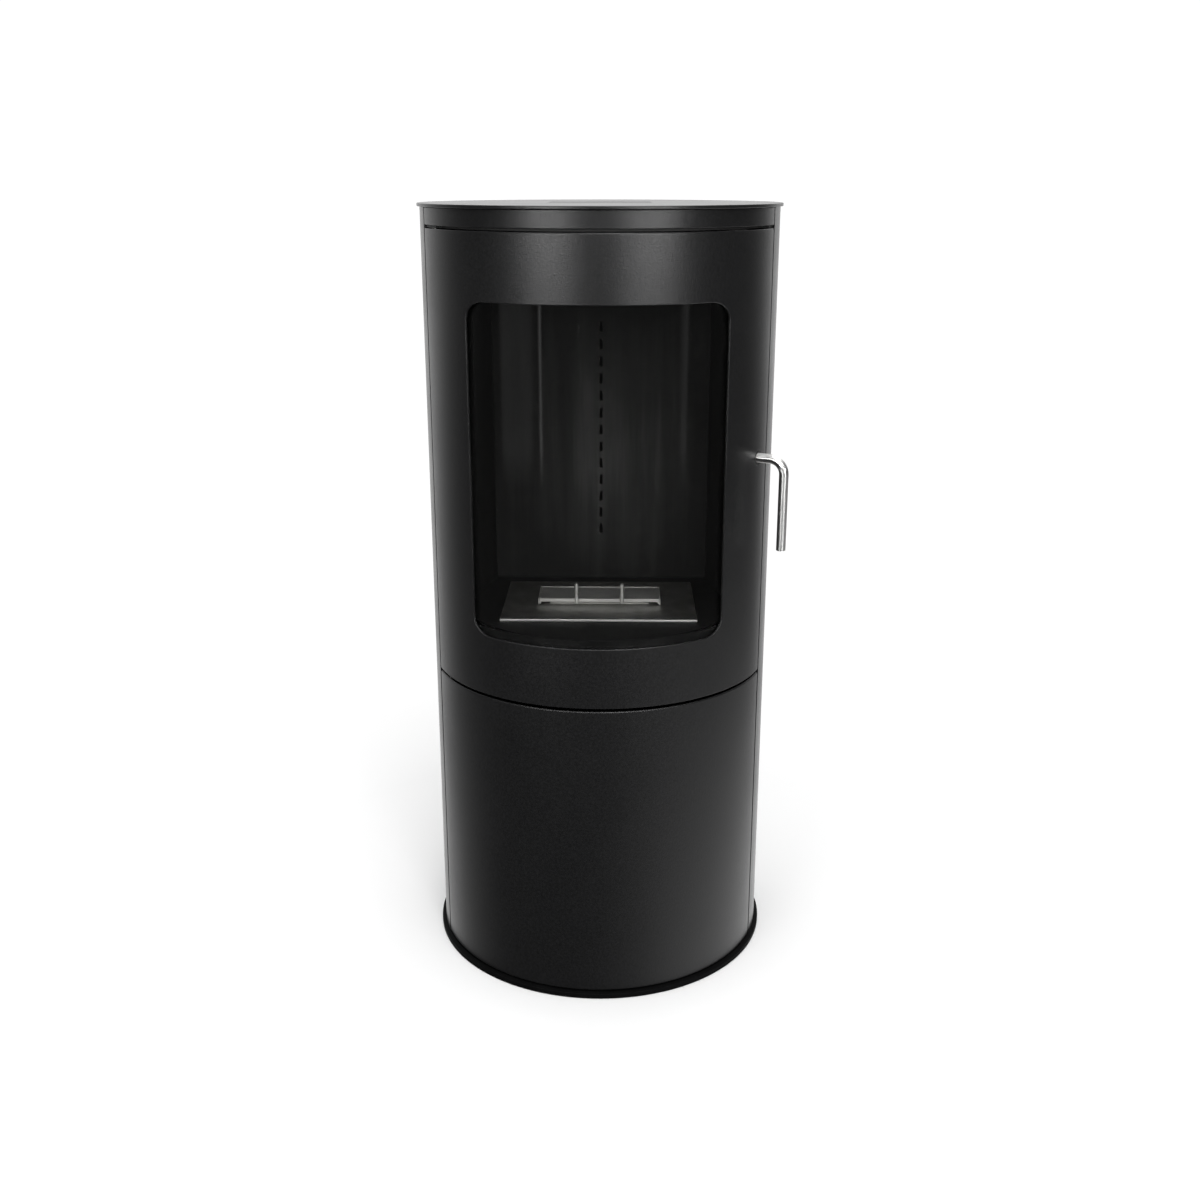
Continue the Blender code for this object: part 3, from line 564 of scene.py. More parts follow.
def plated_steel(name):
    """Bright zinc with the cloudy crystals that plating leaves."""
    material, tree, shader = principled(name)
    cells = tree.nodes.new("ShaderNodeTexVoronoi")
    cells.inputs["Scale"].default_value = 500
    tree.links.new(coordinates(tree), cells.inputs["Vector"])
    crystal = cells.outputs["Distance"]
    tint = colours(tree, crystal, (0.0, (0.5, 0.5, 0.49)), (0.7, (0.66, 0.66, 0.63)))
    tree.links.new(tint, shader.inputs["Base Color"])
    tree.links.new(between(tree, crystal, 0.3, 0.42, (0.0, 0.7)), shader.inputs["Roughness"])
    shader.inputs["Metallic"].default_value = 1.0
    return material


def clear_glass(name):
    """Ceramic glass with a faint grey tint. Lamps shine through it to what is behind."""
    material, tree, shader = principled(name)
    shader.inputs["Base Color"].default_value = (0.93, 0.935, 0.93, 1.0)
    shader.inputs["Roughness"].default_value = 0.0
    shader.inputs["IOR"].default_value = 1.5
    shader.inputs["Transmission Weight"].default_value = 1.0
    clear = tree.nodes.new("ShaderNodeBsdfTransparent")
    clear.inputs["Color"].default_value = (0.92, 0.925, 0.92, 1.0)
    rays = tree.nodes.new("ShaderNodeLightPath")
    mix = tree.nodes.new("ShaderNodeMixShader")
    tree.links.new(rays.outputs["Is Shadow Ray"], mix.inputs["Fac"])
    tree.links.new(shader.outputs["BSDF"], mix.inputs[1])
    tree.links.new(clear.outputs["BSDF"], mix.inputs[2])
    tree.links.new(mix.outputs["Shader"], tree.nodes["Material Output"].inputs["Surface"])
    return material


def woven_tape(name):
    """Flat glass-fibre tape: crossing threads a millimetre apart."""
    material, tree, shader = principled(name)
    place = coordinates(tree)
    waves = []
    for direction in ("X", "Z"):
        wave = tree.nodes.new("ShaderNodeTexWave")
        wave.bands_direction = direction
        wave.inputs["Scale"].default_value = 300
        wave.inputs["Distortion"].default_value = 0.6
        tree.links.new(place, wave.inputs["Vector"])
        waves.append(wave.outputs["Fac"])
    threads = math_node(tree, "MULTIPLY", *waves)
    base = colours(tree, threads, (0.0, (0.03, 0.03, 0.03)), (1.0, (0.12, 0.12, 0.115)))
    tree.links.new(base, shader.inputs["Base Color"])
    shader.inputs["Roughness"].default_value = 0.9
    bump(tree, shader, threads, 0.2 * MM)
    return material


def fibre_wool(name):
    """Pressed ceramic fibre: white, matt and matted."""
    material, tree, shader = principled(name)
    strands = noise_value(tree, coordinates(tree, (1.0, 5.0, 1.0)), 260, detail=6.0, roughness=0.7)
    base = colours(tree, strands, (0.3, (0.55, 0.53, 0.48)), (0.7, (0.82, 0.8, 0.75)))
    tree.links.new(base, shader.inputs["Base Color"])
    shader.inputs["Roughness"].default_value = 0.95
    bump(tree, shader, strands, 0.5 * MM)
    return material


def moulded_plastic(name):
    material, tree, shader = principled(name)
    grain = noise_value(tree, coordinates(tree), 500, detail=2.0)
    base = colours(tree, grain, (0.3, (0.022, 0.022, 0.022)), (0.7, (0.032, 0.032, 0.032)))
    tree.links.new(base, shader.inputs["Base Color"])
    shader.inputs["Roughness"].default_value = 0.5
    bump(tree, shader, grain, 0.05 * MM)
    return material


MATERIALS = {
    "black_paint": powder_coat("black_paint", (0.0042, 0.0042, 0.0044), (0.0072, 0.0072, 0.0076), 0.36),
    "structure_paint": matt_paint("structure_paint", (0.012, 0.012, 0.012), (0.022, 0.022, 0.021), 0.62),
    # Nearly five times darker than the back panel's paint: painted shade on the chamber's side panels and
    # hearth
    "chamber_paint": heat_paint("chamber_paint", 0.005),
    "stainless": brushed_steel("stainless", (0.62, 0.61, 0.59), 0.24, (0.03, 1.0, 1.0)),
    "plated_steel": plated_steel("plated_steel"),
    "ceramic_glass": clear_glass("ceramic_glass"),
    "gasket": woven_tape("gasket"),
    "ceramic_wool": fibre_wool("ceramic_wool"),
    "magnet_plastic": moulded_plastic("magnet_plastic"),
}
# The back panel's paint: paler than the other chamber paint, with a painted pool of light at its middle
PAINTED_LIGHT_BACK_PAINT = heat_paint("chamber_paint_painted_light", 0.023, lit_patch=True)
RETAINER_PAINT = matt_paint("retainer_paint", (0.002, 0.002, 0.002), (0.004, 0.004, 0.004), 0.5, 0.12)
PLATE_STEEL = dulled_steel("plate_steel")
LID_STEEL = brushed_steel("lid_steel", (0.8, 0.79, 0.77), 0.36, (0.03, 1.0, 1.0))
ROD_STEEL = ground_rod("rod_steel")
BASE_PAINT = matt_paint("base_paint", (0.002, 0.002, 0.0021), (0.004, 0.004, 0.0042), 0.7, 0.06)


def stands_for(item, node, material=None):
    """item replaces a CAD node: it rides on the node's body and takes its finish."""
    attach(item, BODY_OF[node])
    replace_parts(item, node)
    item.data.materials.clear()
    item.data.materials.append(material or MATERIALS[SLOT_OF[node]])
    return item


# ---------------------------------------------------------------- the drum

def heights_of(node):
    low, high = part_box(node)
    return low.z, high.z


def build_shell():
    back = math.pi * DRUM_R
    slots = []
    for side in (-1, 1):
        for row in range(SHELL_SLOT_ROWS):
            centre = (back + side * SHELL_SLOT_ARC, SHELL_SLOT_Z + row * SHELL_SLOT_PITCH)
            slots.append(slot_outline(centre, *SHELL_SLOT))
    sheet = rolled_sheet("shell_sheet", (DRUM_R - SHEET, DRUM_R), (SHELL_AZ, 360 - SHELL_AZ),
                         heights_of("outer_shell"), slots)
    stands_for(sheet, "outer_shell")


def build_discs():
    vents = [slot_outline((0.0, row * TOP_SLOT_PITCH), *TOP_SLOT) for row in range(-3, 4)]
    top = disc("top_disc", TOP_R, *heights_of("top_plate"), vents, DISC_EDGE)
    stands_for(top, "top_plate")
    base = disc("base_disc", PLINTH_R, *heights_of("base_plate"), (), DISC_EDGE)
    stands_for(base, "base_plate", BASE_PAINT)


def window_outline(outer=DRUM_R, azimuth=WINDOW_AZ, inset=WINDOW_INSET):
    """The window as cut straight through from the front, laid flat at the sheet's outer face."""
    low, high = heights_of("fire_door_glass")
    half = (DRUM_R * math.sin(math.radians(azimuth)), (high - low) / 2 - inset)
    outline = rounded_rectangle((0.0, (low + high) / 2), half, WINDOW_CORNER)
    return [(outer * math.asin(x / outer), z) for x, z in outline]


def handle_hole():
    """The round hole for the handle's bush, laid flat at the sheet's outer face."""
    along = math.radians(HANDLE_AZ) * DRUM_R
    radius = HANDLE_HOLE_R
    angles = [2 * math.pi * i / HANDLE_HOLE_SIDES for i in range(HANDLE_HOLE_SIDES)]
    return [(along + radius * math.cos(a), HANDLE_Z + radius * math.sin(a)) for a in angles]


def build_front():
    radii = (DRUM_R - FRONT_SHEET, DRUM_R)
    span = (-FRONT_AZ, FRONT_AZ)
    fascia = rolled_sheet("fascia_sheet", radii, span, heights_of("top_fascia"))
    stands_for(fascia, "top_fascia")
    holes = [window_outline(), handle_hole()]
    door = rolled_sheet("fire_door_sheet", radii, span, heights_of("fire_door_panel"), holes, DOOR_EDGE)
    stands_for(door, "fire_door_panel")
    lower = rolled_sheet("lower_door_sheet", radii, span, heights_of("lower_door_panel"), (), DOOR_EDGE)
    stands_for(lower, "lower_door_panel")
    opening = window_outline(GASKET_R[1], GASKET_WINDOW_AZ, GASKET_WINDOW_INSET)
    span = (-GASKET_AZ, GASKET_AZ)
    tape = rolled_sheet("gasket_tape", GASKET_R, span, heights_of("glass_gasket"), [opening], GASKET_EDGE)
    stands_for(tape, "glass_gasket")
    span = (-GLASS_AZ, GLASS_AZ)
    pane = rolled_sheet("glass_pane", GLASS_R, span, heights_of("fire_door_glass"), (), GLASS_EDGE)
    stands_for(pane, "fire_door_glass")


# ---------------------------------------------------------------- the handle

def build_handle():
    """One bent rod, swept finely, with a chamfer at its free end."""
    outward = polar(1.0, HANDLE_AZ)
    side = polar(1.0, HANDLE_AZ + 90)
    up = Vector((0.0, 0.0, 1.0))
    end_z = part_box("door_handle")[0].z
    stations = [(SPINDLE_END_R, HANDLE_Z, 0.0, THREAD_R - 0.8 * MM),
                (SPINDLE_END_R + 1 * MM, HANDLE_Z, 0.0, THREAD_R),
                (SHOULDER_R, HANDLE_Z, 0.0, THREAD_R),
                (SHOULDER_R, HANDLE_Z, 0.0, ROD_R - 0.4 * MM),
                (SHOULDER_R + 0.4 * MM, HANDLE_Z, 0.0, ROD_R)]
    for i in range(BEND_STEPS + 1):
        angle = math.pi / 2 * i / BEND_STEPS
        reach = LEVER_R - BEND_R + BEND_R * math.sin(angle)
        stations.append((reach, HANDLE_Z - BEND_R + BEND_R * math.cos(angle), angle, ROD_R))
    for height, shrink in ((0.8, 0.0), (0.3, 0.25), (0.0, 0.8)):
        stations.append((LEVER_R, end_z + height * MM, math.pi / 2, ROD_R - shrink * MM))
    bm = bmesh.new()
    loops = []
    for reach, height, angle, radius in stations:
        centre = outward * reach + up * height
        across = outward * math.sin(angle) + up * math.cos(angle)
        turns = [2 * math.pi * i / ROD_SIDES for i in range(ROD_SIDES)]
        ring = [centre + radius * (side * math.cos(t) + across * math.sin(t)) for t in turns]
        loops.append([bm.verts.new(point) for point in ring])
    skin(bm, loops, around=False, ends=True)
    rod = shade(link_mesh("handle_rod", bm), sharp=60.0)
    stands_for(rod, "door_handle", ROD_STEEL)


# ---------------------------------------------------------------- the burner

def collar_cutters(low, high):
    """What leaves a thin neck standing on the collar's foot: four sides above the foot, and the bore."""
    neck = COLLAR_FOOT - BURNER_SHEET
    left, right = low.x - MM, high.x + MM
    front, back = low.y - MM, high.y + MM
    sides = [((left, front), (low.x + neck, back)),
             ((high.x - neck, front), (right, back)),
             ((left, front), (right, low.y + neck)),
             ((left, high.y - neck), (right, back))]
    cutters = [block("side", (*start, COLLAR_FOOT_TOP), (*end, 1.0)) for start, end in sides]
    cutters.append(block("bore", (low.x + COLLAR_FOOT, low.y + COLLAR_FOOT, 0.4),
                         (high.x - COLLAR_FOOT, high.y - COLLAR_FOOT, 0.6)))
    return cutters


def build_plate():
    """The burner's top plate, a shallow tray turned over, and the collar round its mouth."""
    low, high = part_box("burner_top_plate")
    collar_low, collar_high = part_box("burner_collar")
    foot = COLLAR_FOOT
    plate = block("burner_tray", low, high)
    hollow = block("hollow", (low.x + PLATE_SKIRT, low.y + PLATE_SKIRT, low.z - PAST),
                   (high.x - PLATE_SKIRT, high.y - PLATE_SKIRT, high.z - BURNER_SHEET))
    mouth = block("mouth", (collar_low.x + foot, collar_low.y + foot, low.z - PAST),
                  (collar_high.x - foot, collar_high.y - foot, high.z + PAST))
    subtract(plate, [hollow, mouth])
    stands_for(shade(soften(plate, 1.0 * MM, 4)), "burner_top_plate", PLATE_STEEL)

    collar = block("mouth_collar", collar_low, collar_high)
    subtract(collar, collar_cutters(collar_low, collar_high))
    stands_for(shade(soften(collar, 0.5 * MM, 3)), "burner_collar", LID_STEEL)

    low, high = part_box("lid_guide")
    rail = BURNER_SHEET
    outline = [(low.x, low.y), (low.x + rail, low.y), (low.x + rail, high.y - rail),
               (high.x - rail, high.y - rail), (high.x - rail, low.y), (high.x, low.y),
               (high.x, high.y), (low.x, high.y)]
    guide = prism("guide_rail", outline, low.z, high.z)
    stands_for(shade(soften(guide, 0.5 * MM, 3)), "lid_guide", LID_STEEL)


def build_lid():
    """The sliding lid, open below and behind, and its two posts."""
    low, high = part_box("burner_lid")
    left, right = low.x + LID_WALL, high.x - LID_WALL
    lid = block("sliding_lid", low, high)
    under = block("under", (left, low.y - PAST, low.z - PAST), (right, high.y + PAST, LID_LIP_Z))
    space = block("space", (left, low.y + LID_WALL, LID_LIP_Z - MM),
                  (right, high.y + PAST, high.z - LID_WALL))
    subtract(lid, [under, space])
    stands_for(shade(soften(lid, 0.6 * MM, 3)), "burner_lid", LID_STEEL)

    for label in ("left", "right"):
        low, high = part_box("lid_post_" + label)
        centre = (low + high) / 2
        radius = (high.x - low.x) / 2
        profile = [(radius - 0.3 * MM, low.z), (radius, low.z + 0.3 * MM)]
        dome = 8
        for i in range(dome + 1):
            angle = math.pi / 2 * i / (dome + 1)
            profile.append((radius * math.cos(angle), high.z - radius * 0.5 * (1 - math.sin(angle))))
        post = turned("lid_peg_" + label, profile, Matrix.Translation((centre.x, centre.y, 0.0)), sides=40)
        stands_for(shade(post), "lid_post_" + label, LID_STEEL)


def build_core():
    """The absorbent block, softly uneven on top."""
    low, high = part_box("burner_ceramic_core")
    core = block("fibre_core", low + Vector((0.5, 0.5, 0.0)) * MM, high - Vector((0.5, 0.5, 1.5)) * MM)
    soften(core, 3 * MM, 4)
    bm = bmesh.new()
    bm.from_mesh(core.data)
    for axis, start, end, pitch in ((0, low.x, high.x, 6 * MM), (1, low.y, high.y, 6 * MM)):
        normal = Vector((0.0, 0.0, 0.0))
        normal[axis] = 1.0
        for i in range(1, int((end - start) / pitch)):
            point = normal * (start + i * pitch)
            everything = bm.verts[:] + bm.edges[:] + bm.faces[:]
            bmesh.ops.bisect_plane(bm, geom=everything, dist=1e-6, plane_co=point, plane_no=normal)
    for vertex in bm.verts:
        if vertex.co.z > low.z + 6 * MM:
            vertex.co.z += 1.2 * MM * noise.noise(vertex.co * 70)
    bm.to_mesh(core.data)
    bm.free()
    stands_for(shade(core), "burner_ceramic_core")


# ---------------------------------------------------------------- inside the drum

def arc(radius, start, end):
    count = math.ceil(abs(end - start) / ROLL_STEP)
    return [polar(radius, start + (end - start) * i / count).to_2d() for i in range(count + 1)]


def column(name, radius, low, high, centre, sides=64):
    place = Matrix.Translation((centre.x, centre.y, 0.0))
    return turned(name, [(radius, low), (radius, high)], place, sides=sides)


def through_cut(name, corners, low, high):
    """A cutter between two (x, y) corners that runs past a sheet from low to high."""
    return block(name, (*corners[0], low - PAST), (*corners[1], high + PAST))


def build_decks():
    """Both decks with their set-back front edges, and the holes for the hinge pins."""
    hinge = polar(HINGE_R, HINGE_AZ)
    start, end = DECK_FRONT_AZ
    outline = arc(DECK_R, end, 360 + start) + arc(DECK_FRONT_R, start, end)
    for node, label in (("mid_deck", "middle_shelf"), ("top_deck", "upper_shelf")):
        low, high = heights_of(node)
        deck = prism(label, outline, low, high)
        cutters = [column("hole", HINGE_HOLE_R, low - PAST, high + PAST, hinge)]
        if node == "top_deck":
            cutters.append(through_cut("outlet", DECK_OUTLET, low, high))
        subtract(deck, cutters)
        stands_for(shade(soften(deck, 0.3 * MM)), node)


def build_hearth():
    """The floor and the roof of the fire chamber."""
    low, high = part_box("hearth_plate")
    turn = math.degrees(math.acos(-high.y / HEARTH_R))
    hearth = prism("hearth_sheet", arc(HEARTH_R, -turn, turn), low.z, high.z)
    tank_low, tank_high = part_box("burner_tank")
    cutout = ((tank_low.x - TANK_CLEARANCE, tank_low.y - TANK_CLEARANCE),
              (tank_high.x + TANK_CLEARANCE, tank_high.y + TANK_CLEARANCE))
    subtract(hearth, [through_cut("cutout", cutout, low.z, high.z)])
    stands_for(shade(soften(hearth, 0.4 * MM, 3)), "hearth_plate")

    low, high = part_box("chamber_roof")
    side_low, side_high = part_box("chamber_right_panel")
    turn = math.degrees(math.atan2(side_high.x, -side_low.y))
    back_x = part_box("chamber_back_panel")[1].x
    outline = arc(HEARTH_R - 0.5 * MM, -turn, turn) + [(back_x, high.y), (-back_x, high.y)]
    roof = prism("roof_sheet", outline, low.z, high.z)
    subtract(roof, [through_cut("outlet", ROOF_OUTLET, low.z, high.z)])
    stands_for(shade(soften(roof, 0.4 * MM)), "chamber_roof")


def build_retainers():
    """The two curved strips above and below the glass, with the holes for their screws."""
    r0, r1, r2, r3 = RETAINER_R
    glass_low, glass_high = heights_of("fire_door_glass")
    clear, turn, width = RETAINER_STEPS
    for label, base, way, lip in (("top", glass_high, 1, RETAINER_LIP_TOP),
                                  ("bottom", glass_low, -1, RETAINER_LIP_BOTTOM)):
        section = [(r0, -lip), (r1, -lip), (r1, clear), (r3, clear), (r3, width), (r2, width),
                   (r2, turn), (r0, turn)]
        count = math.ceil(2 * RETAINER_AZ / ROLL_STEP)
        bm = bmesh.new()
        loops = []
        for i in range(count + 1):
            azimuth = RETAINER_AZ * (2 * i / count - 1)
            loops.append([bm.verts.new(polar(r, azimuth, base + way * h)) for r, h in section])
        skin(bm, loops, around=False, ends=True)
        strip = link_mesh("glass_strip_" + label, bm)
        holes = []
        for side in ("left", "right"):
            place = screw_place("retainer_screw_" + label + "_" + side)
            holes.append(turned("hole", [(2.3 * MM, 210 * MM), (2.3 * MM, 230 * MM)], place, sides=24))
        subtract(strip, holes)
        stands_for(shade(soften(strip, 0.3 * MM), drum_normal), "glass_retainer_" + label, RETAINER_PAINT)


def build_pins():
    """Hinge pins with their collars, and the spacers under the hearth."""
    centre = polar(HINGE_R, HINGE_AZ)
    place = Matrix.Translation((centre.x, centre.y, 0.0))
    pin, collar = PIN_R, PIN_COLLAR_R
    for node, (seat, top) in PIN_COLLARS.items():
        low, high = heights_of(node)
        point_below = node != "hinge_pin_bottom"
        point_above = node != "hinge_pin_top"
        profile = [(pin - PIN_POINT, low), (pin, low + PIN_POINT)] if point_below else [(pin, low)]
        profile += [(pin, seat), (collar - PIN_CHAMFER, seat), (collar, seat + PIN_CHAMFER),
                    (collar, top - PIN_CHAMFER), (collar - PIN_CHAMFER, top)]
        if point_above:
            profile += [(pin, top), (pin, high - PIN_POINT), (pin - PIN_POINT, high)]
        stands_for(shade(turned(node + "_turned", profile, place, sides=48)), node)

    for node in sorted(n for n in SLOT_OF if n.startswith("hearth_spacer")):
        low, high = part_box(node)
        centre = (low + high) / 2
        radius = (high.x - low.x) / 2
        spacer = column(node + "_turned", radius, low.z, high.z, centre)
        stands_for(shade(soften(spacer, 0.5 * MM)), node)


def build_latch():
    """The bush in the door, and the washer and nut that hold the tongue on the spindle."""
    place = facing(HANDLE_AZ, HANDLE_Z)
    bore, outer, flange = BUSH_R
    foot, seat, step, top = BUSH_REACH
    profile = [(bore, foot), (outer, foot), (outer, seat), (flange, seat), (flange, step), (outer, step),
               (outer, top), (bore, top)]
    bush = turned("spindle_bush", profile, place, closed=True, sides=64)
    stands_for(shade(soften(bush, 0.3 * MM)), "handle_bush")

    hole = THREAD_R + 0.3 * MM
    washer_top = SHOULDER_R - 3.6 * MM
    washer_foot = washer_top - WASHER_T
    section = [(hole, washer_foot), (WASHER_R, washer_foot), (WASHER_R, washer_top), (hole, washer_top)]
    washer = turned("spindle_washer", section, place, closed=True, sides=64)
    stands_for(shade(soften(washer, 0.25 * MM)), "latch_washer")

    nut_top = washer_top - 1.8 * MM
    nut = turned("spindle_nut", [(NUT_R, nut_top - NUT_H), (NUT_R, nut_top)], place, sides=6)
    subtract(nut, [turned("hole", [(hole, nut_top - 2 * NUT_H), (hole, nut_top + NUT_H)], place, sides=40)])
    stands_for(shade(soften(nut, 0.6 * MM, 3)), "latch_nut")


# ---------------------------------------------------------------- fasteners

def screw_place(node):
    low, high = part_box(node)
    centre = (low + high) / 2
    return facing(math.degrees(math.atan2(centre.x, -centre.y)), centre.z)


def build_screws():
    """Pan head screws with a cross recess on the glass retainers."""
    seat = RETAINER_R[2] - 0.3 * MM
    profile = [(2.2 * MM, seat - 2.4 * MM), (3.2 * MM, seat - 2.0 * MM), (3.75 * MM, seat - 1.2 * MM),
               (3.8 * MM, seat), (1.9 * MM, seat), (1.9 * MM, RETAINER_R[3])]
    for node in sorted(n for n in SLOT_OF if n.startswith("retainer_screw_")):
        place = screw_place(node)
        screw = turned(node + "_turned", profile, place, sides=32)
        bars = []
        for wide, tall in ((2.3 * MM, 0.45 * MM), (0.45 * MM, 2.3 * MM)):
            outline = [(-wide, -tall), (wide, -tall), (wide, tall), (-wide, tall)]
            bars.append(prism("bar", outline, seat - 4 * MM, seat - 1.1 * MM, place))
        subtract(screw, bars)
        stands_for(shade(screw, sharp=30.0), node)


def rounded_copy(node, name, edge, material=None, sharp=40.0):
    """A copy of a CAD node with its flat faces merged and its edges rounded."""
    source = frame["nodes"][node]
    bm = bmesh.new()
    bm.from_mesh(source.data)
    bmesh.ops.remove_doubles(bm, verts=bm.verts, dist=1e-6)
    bmesh.ops.dissolve_limit(bm, angle_limit=math.radians(1.0), verts=bm.verts, edges=bm.edges)
    item = link_mesh(name, bm)
    soften(item, edge, 2, sharp)
    return stands_for(shade(item), node, material)


COPY_FINISH = {
    # the back panel takes the paint with the painted pool of light
    "chamber_back_panel": PAINTED_LIGHT_BACK_PAINT,
    "glass_retainer_left": RETAINER_PAINT,
    "glass_retainer_right": RETAINER_PAINT,
}


def build_inside():
    """Everything inside keeps its CAD shape and gains rounded edges."""
    done = {node for item in bpy.data.objects for node in list(item.get("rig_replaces", []))}
    for node in sorted(SLOT_OF):
        if node not in done:
            rounded_copy(node, node + "_piece", 0.25 * MM, COPY_FINISH.get(node))


# ---------------------------------------------------------------- stage, light, camera

FLOOR_R = 9.0
FLOOR_FADE = (0.55, 1.1)
BACKDROP_LEVEL = 1.05
REFLECTED_LEVEL = 1.7
FILL_LEVEL = 0.25


def build_floor():
    """A white floor that takes shadows near the stove and runs into the white backdrop further out."""
    floor = prism("studio_floor", [polar(FLOOR_R, 7.5 * i).to_2d() for i in range(48)], -0.02, -0.0005)
    material, tree, shader = principled("studio_floor")
    shader.inputs["Base Color"].default_value = (0.88, 0.88, 0.88, 1.0)
    shader.inputs["Roughness"].default_value = 1.0
    shader.inputs["Specular IOR Level"].default_value = 0.0
    white = tree.nodes.new("ShaderNodeEmission")
    white.inputs["Strength"].default_value = BACKDROP_LEVEL
    source = tree.nodes.new("ShaderNodeTexCoord")
    reach = tree.nodes.new("ShaderNodeVectorMath")
    reach.operation = "LENGTH"
    tree.links.new(source.outputs["Object"], reach.inputs[0])
    far = between(tree, reach.outputs["Value"], 0.0, 1.0, FLOOR_FADE)
    blend = tree.nodes.new("ShaderNodeMixShader")
    tree.links.new(far, blend.inputs["Fac"])
    tree.links.new(shader.outputs["BSDF"], blend.inputs[1])
    tree.links.new(white.outputs["Emission"], blend.inputs[2])
    tree.links.new(blend.outputs["Shader"], tree.nodes["Material Output"].inputs["Surface"])
    floor.data.materials.append(material)
    floor.visible_glossy = False
    floor.visible_diffuse = False
    floor.visible_transmission = False


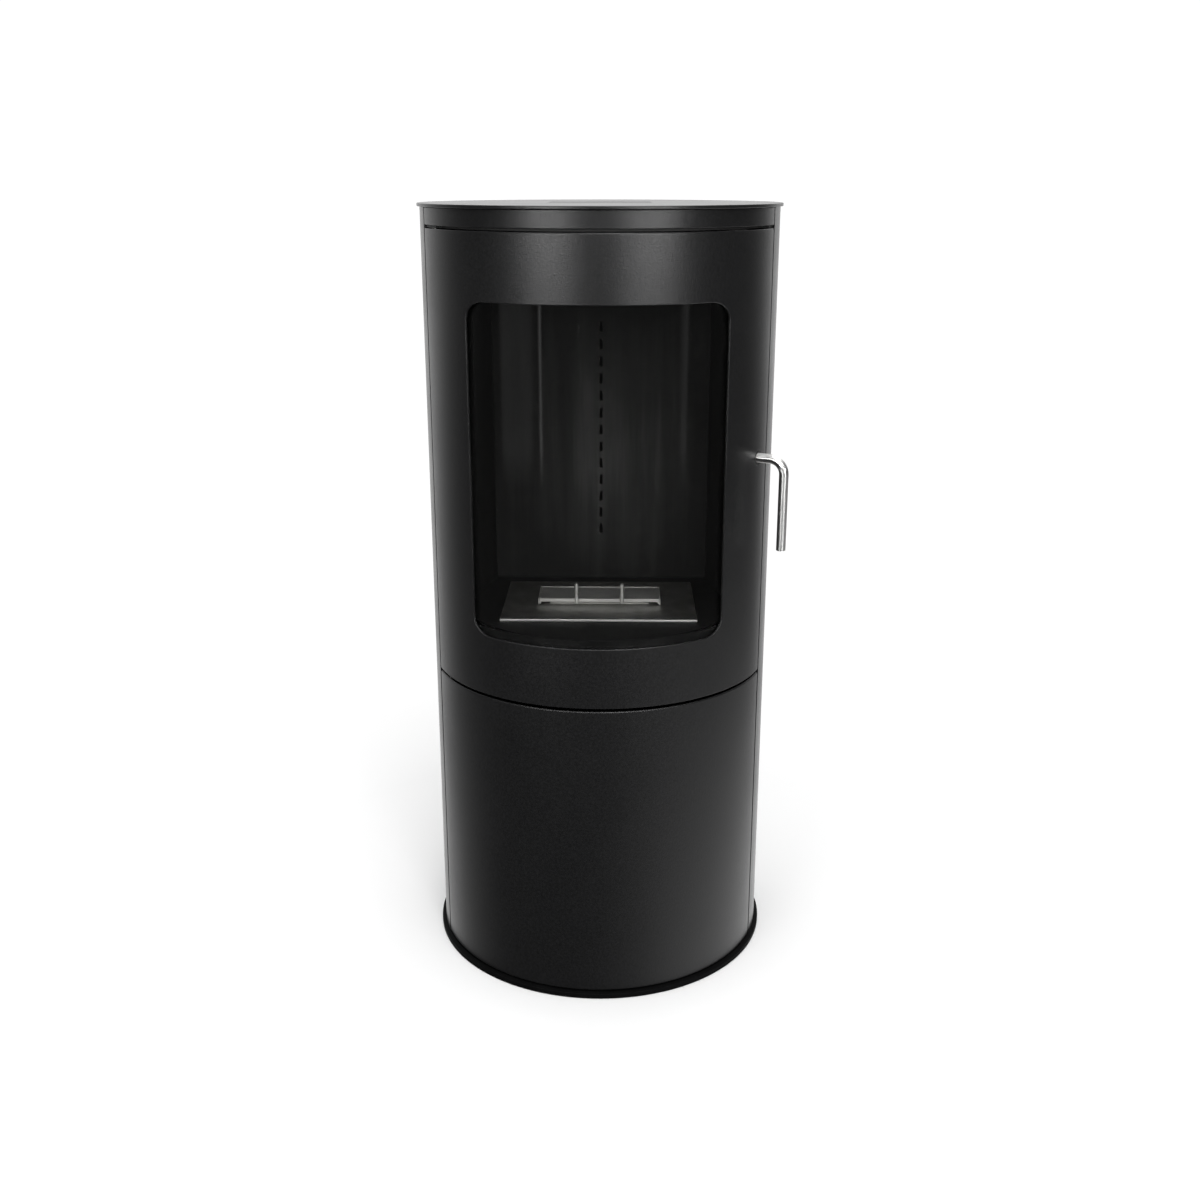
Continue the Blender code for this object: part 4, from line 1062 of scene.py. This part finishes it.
def build_world():
    """White for the eye. Reflections see a white backdrop behind, a dark room in front and a pale floor.

    The pale floor starts in front and brightens to the right.
    """
    world = bpy.data.worlds.new("studio")
    bpy.context.scene.world = world
    world.use_nodes = True
    tree = world.node_tree
    tree.nodes.clear()
    source = tree.nodes.new("ShaderNodeTexCoord")
    parts = tree.nodes.new("ShaderNodeSeparateXYZ")
    tree.links.new(source.outputs["Generated"], parts.inputs["Vector"])
    x, y, z = (parts.outputs[axis] for axis in "XYZ")
    turn = math_node(tree, "ARCTAN2", x, math_node(tree, "MULTIPLY", y, -1.0))
    round_about = between(tree, turn, 0.0, 1.0, (-math.pi, math.pi))

    def ring(*stops):
        """Brightness by azimuth, as a share of the brightest."""
        return colours(tree, round_about, *[((a + 180) / 360, (v,) * 3) for a, v in stops])

    level = ring((-180, 0.85), (-146, 0.8), (-124, 0.4), (-109, 0.13), (-97, 0.05), (-80, 0.02), (80, 0.02),
                 (112, 0.025), (126, 0.17), (136, 0.42), (146, 0.78), (180, 0.85))
    lower = ring((-180, 0.85), (-150, 0.8), (-130, 0.32), (-114, 0.08), (-100, 0.02), (-80, 0.015),
                 (80, 0.015), (118, 0.02), (130, 0.06), (140, 0.2), (150, 0.75), (180, 0.85))
    below = ring((-180, 1.0), (-146, 0.75), (-115, 0.36), (-98, 0.18), (-84, 0.08), (-70, 0.02),
                 (-15, 0.02), (0, 0.035), (30, 0.21), (50, 0.5), (84, 0.72), (112, 0.84), (130, 0.98),
                 (146, 1.0), (180, 1.0))

    def down_to(upper, under, heights):
        """upper above a range of directions' Z, under below it."""
        node = tree.nodes.new("ShaderNodeMix")
        node.data_type = "RGBA"
        tree.links.new(between(tree, z, 0.0, 1.0, heights), node.inputs["Factor"])
        tree.links.new(upper, node.inputs["A"])
        tree.links.new(under, node.inputs["B"])
        return node.outputs["Result"]

    around = down_to(down_to(level, lower, (-0.08, -0.2)), below, (-0.33, -0.53))

    # Narrow panels in the room, that only the glass shows clearly
    panels = ring((-180, 0.0), (-67.0, 0.0), (-66.0, 0.05), (-44.0, 0.045), (-43.0, 0.0), (-39.0, 0.0),
                  (-38.4, 0.26), (-37.2, 0.26), (-36.6, 0.0), (53.0, 0.0), (55.0, 0.03), (58.0, 0.075),
                  (60.0, 0.075), (60.5, 0.0), (180, 0.0))
    sum_up = tree.nodes.new("ShaderNodeMix")
    sum_up.data_type = "RGBA"
    sum_up.blend_type = "ADD"
    tree.links.new(between(tree, z, 0.0, 1.0, (-0.22, -0.19)), sum_up.inputs["Factor"])
    tree.links.new(around, sum_up.inputs["A"])
    tree.links.new(panels, sum_up.inputs["B"])
    around = sum_up.outputs["Result"]

    def background(colour, strength):
        node = tree.nodes.new("ShaderNodeBackground")
        node.inputs["Strength"].default_value = strength
        if colour:
            tree.links.new(colour, node.inputs["Color"])
        else:
            node.inputs["Color"].default_value = (1.0, 1.0, 1.0, 1.0)
        return node.outputs["Background"]

    def after(depth, seen, otherwise):
        """seen for light paths with a bounce of that kind."""
        rays = tree.nodes.new("ShaderNodeLightPath")
        mix = tree.nodes.new("ShaderNodeMixShader")
        tree.links.new(math_node(tree, "MINIMUM", rays.outputs[depth], 1.0), mix.inputs["Fac"])
        tree.links.new(otherwise, mix.inputs[1])
        tree.links.new(seen, mix.inputs[2])
        return mix.outputs["Shader"]

    lit = after("Glossy Depth", background(around, REFLECTED_LEVEL), background(None, BACKDROP_LEVEL))
    lit = after("Diffuse Depth", background(None, FILL_LEVEL), lit)
    out = tree.nodes.new("ShaderNodeOutputWorld")
    tree.links.new(lit, out.inputs["Surface"])


def soft_light(name, position, target, size, power):
    """A rectangular soft box at a position, facing a target."""
    data = bpy.data.lights.new(name, "AREA")
    data.shape = "RECTANGLE"
    data.size, data.size_y = size
    data.energy = power
    lamp = bpy.data.objects.new(name, data)
    bpy.context.scene.collection.objects.link(lamp)
    lamp.location = position
    lamp.visible_camera = False
    lamp.visible_transmission = False
    aim = Vector(target) - Vector(position)
    lamp.rotation_euler = aim.to_track_quat("-Z", "Y").to_euler()
    return lamp


def build_lights():
    high = (0.0, 0.0, 0.9)
    soft_light("front_left", (-1.72, -2.98, 1.25), high, (1.65, 0.6), 39)
    soft_light("front_right", (1.78, -2.95, 1.25), high, (1.8, 0.6), 42)
    soft_light("front_high", (0.35, -2.2, 2.6), (0.0, 0.0, 0.5), (0.9, 0.9), 38)
    soft_light("overhead", (0.0, 0.2, 3.2), (0.0, 0.0, 0.0), (3.0, 3.0), 90)


def build_camera():
    """Eye level with the top of the stove, looking down at its middle."""
    distance, height = 1.7566, 1.0293
    azimuth, down = 1.0, 17.456
    data = bpy.data.cameras.new("camera")
    data.sensor_width = 36.0
    data.lens = 40.29
    camera = bpy.data.objects.new("camera", data)
    bpy.context.scene.collection.objects.link(camera)
    camera.location = polar(distance, azimuth, height)
    camera.rotation_euler = (math.radians(90 - down), 0.0, math.radians(azimuth))
    bpy.context.scene.camera = camera


bpy.context.scene.view_settings.view_transform = "Standard"
build_camera()
build_floor()
build_world()
build_lights()
build_shell()
build_discs()
build_front()
build_handle()
build_plate()
build_lid()
build_core()
build_decks()
build_hearth()
build_retainers()
build_pins()
build_latch()
build_screws()
build_inside()

bpy.context.view_layer.update()
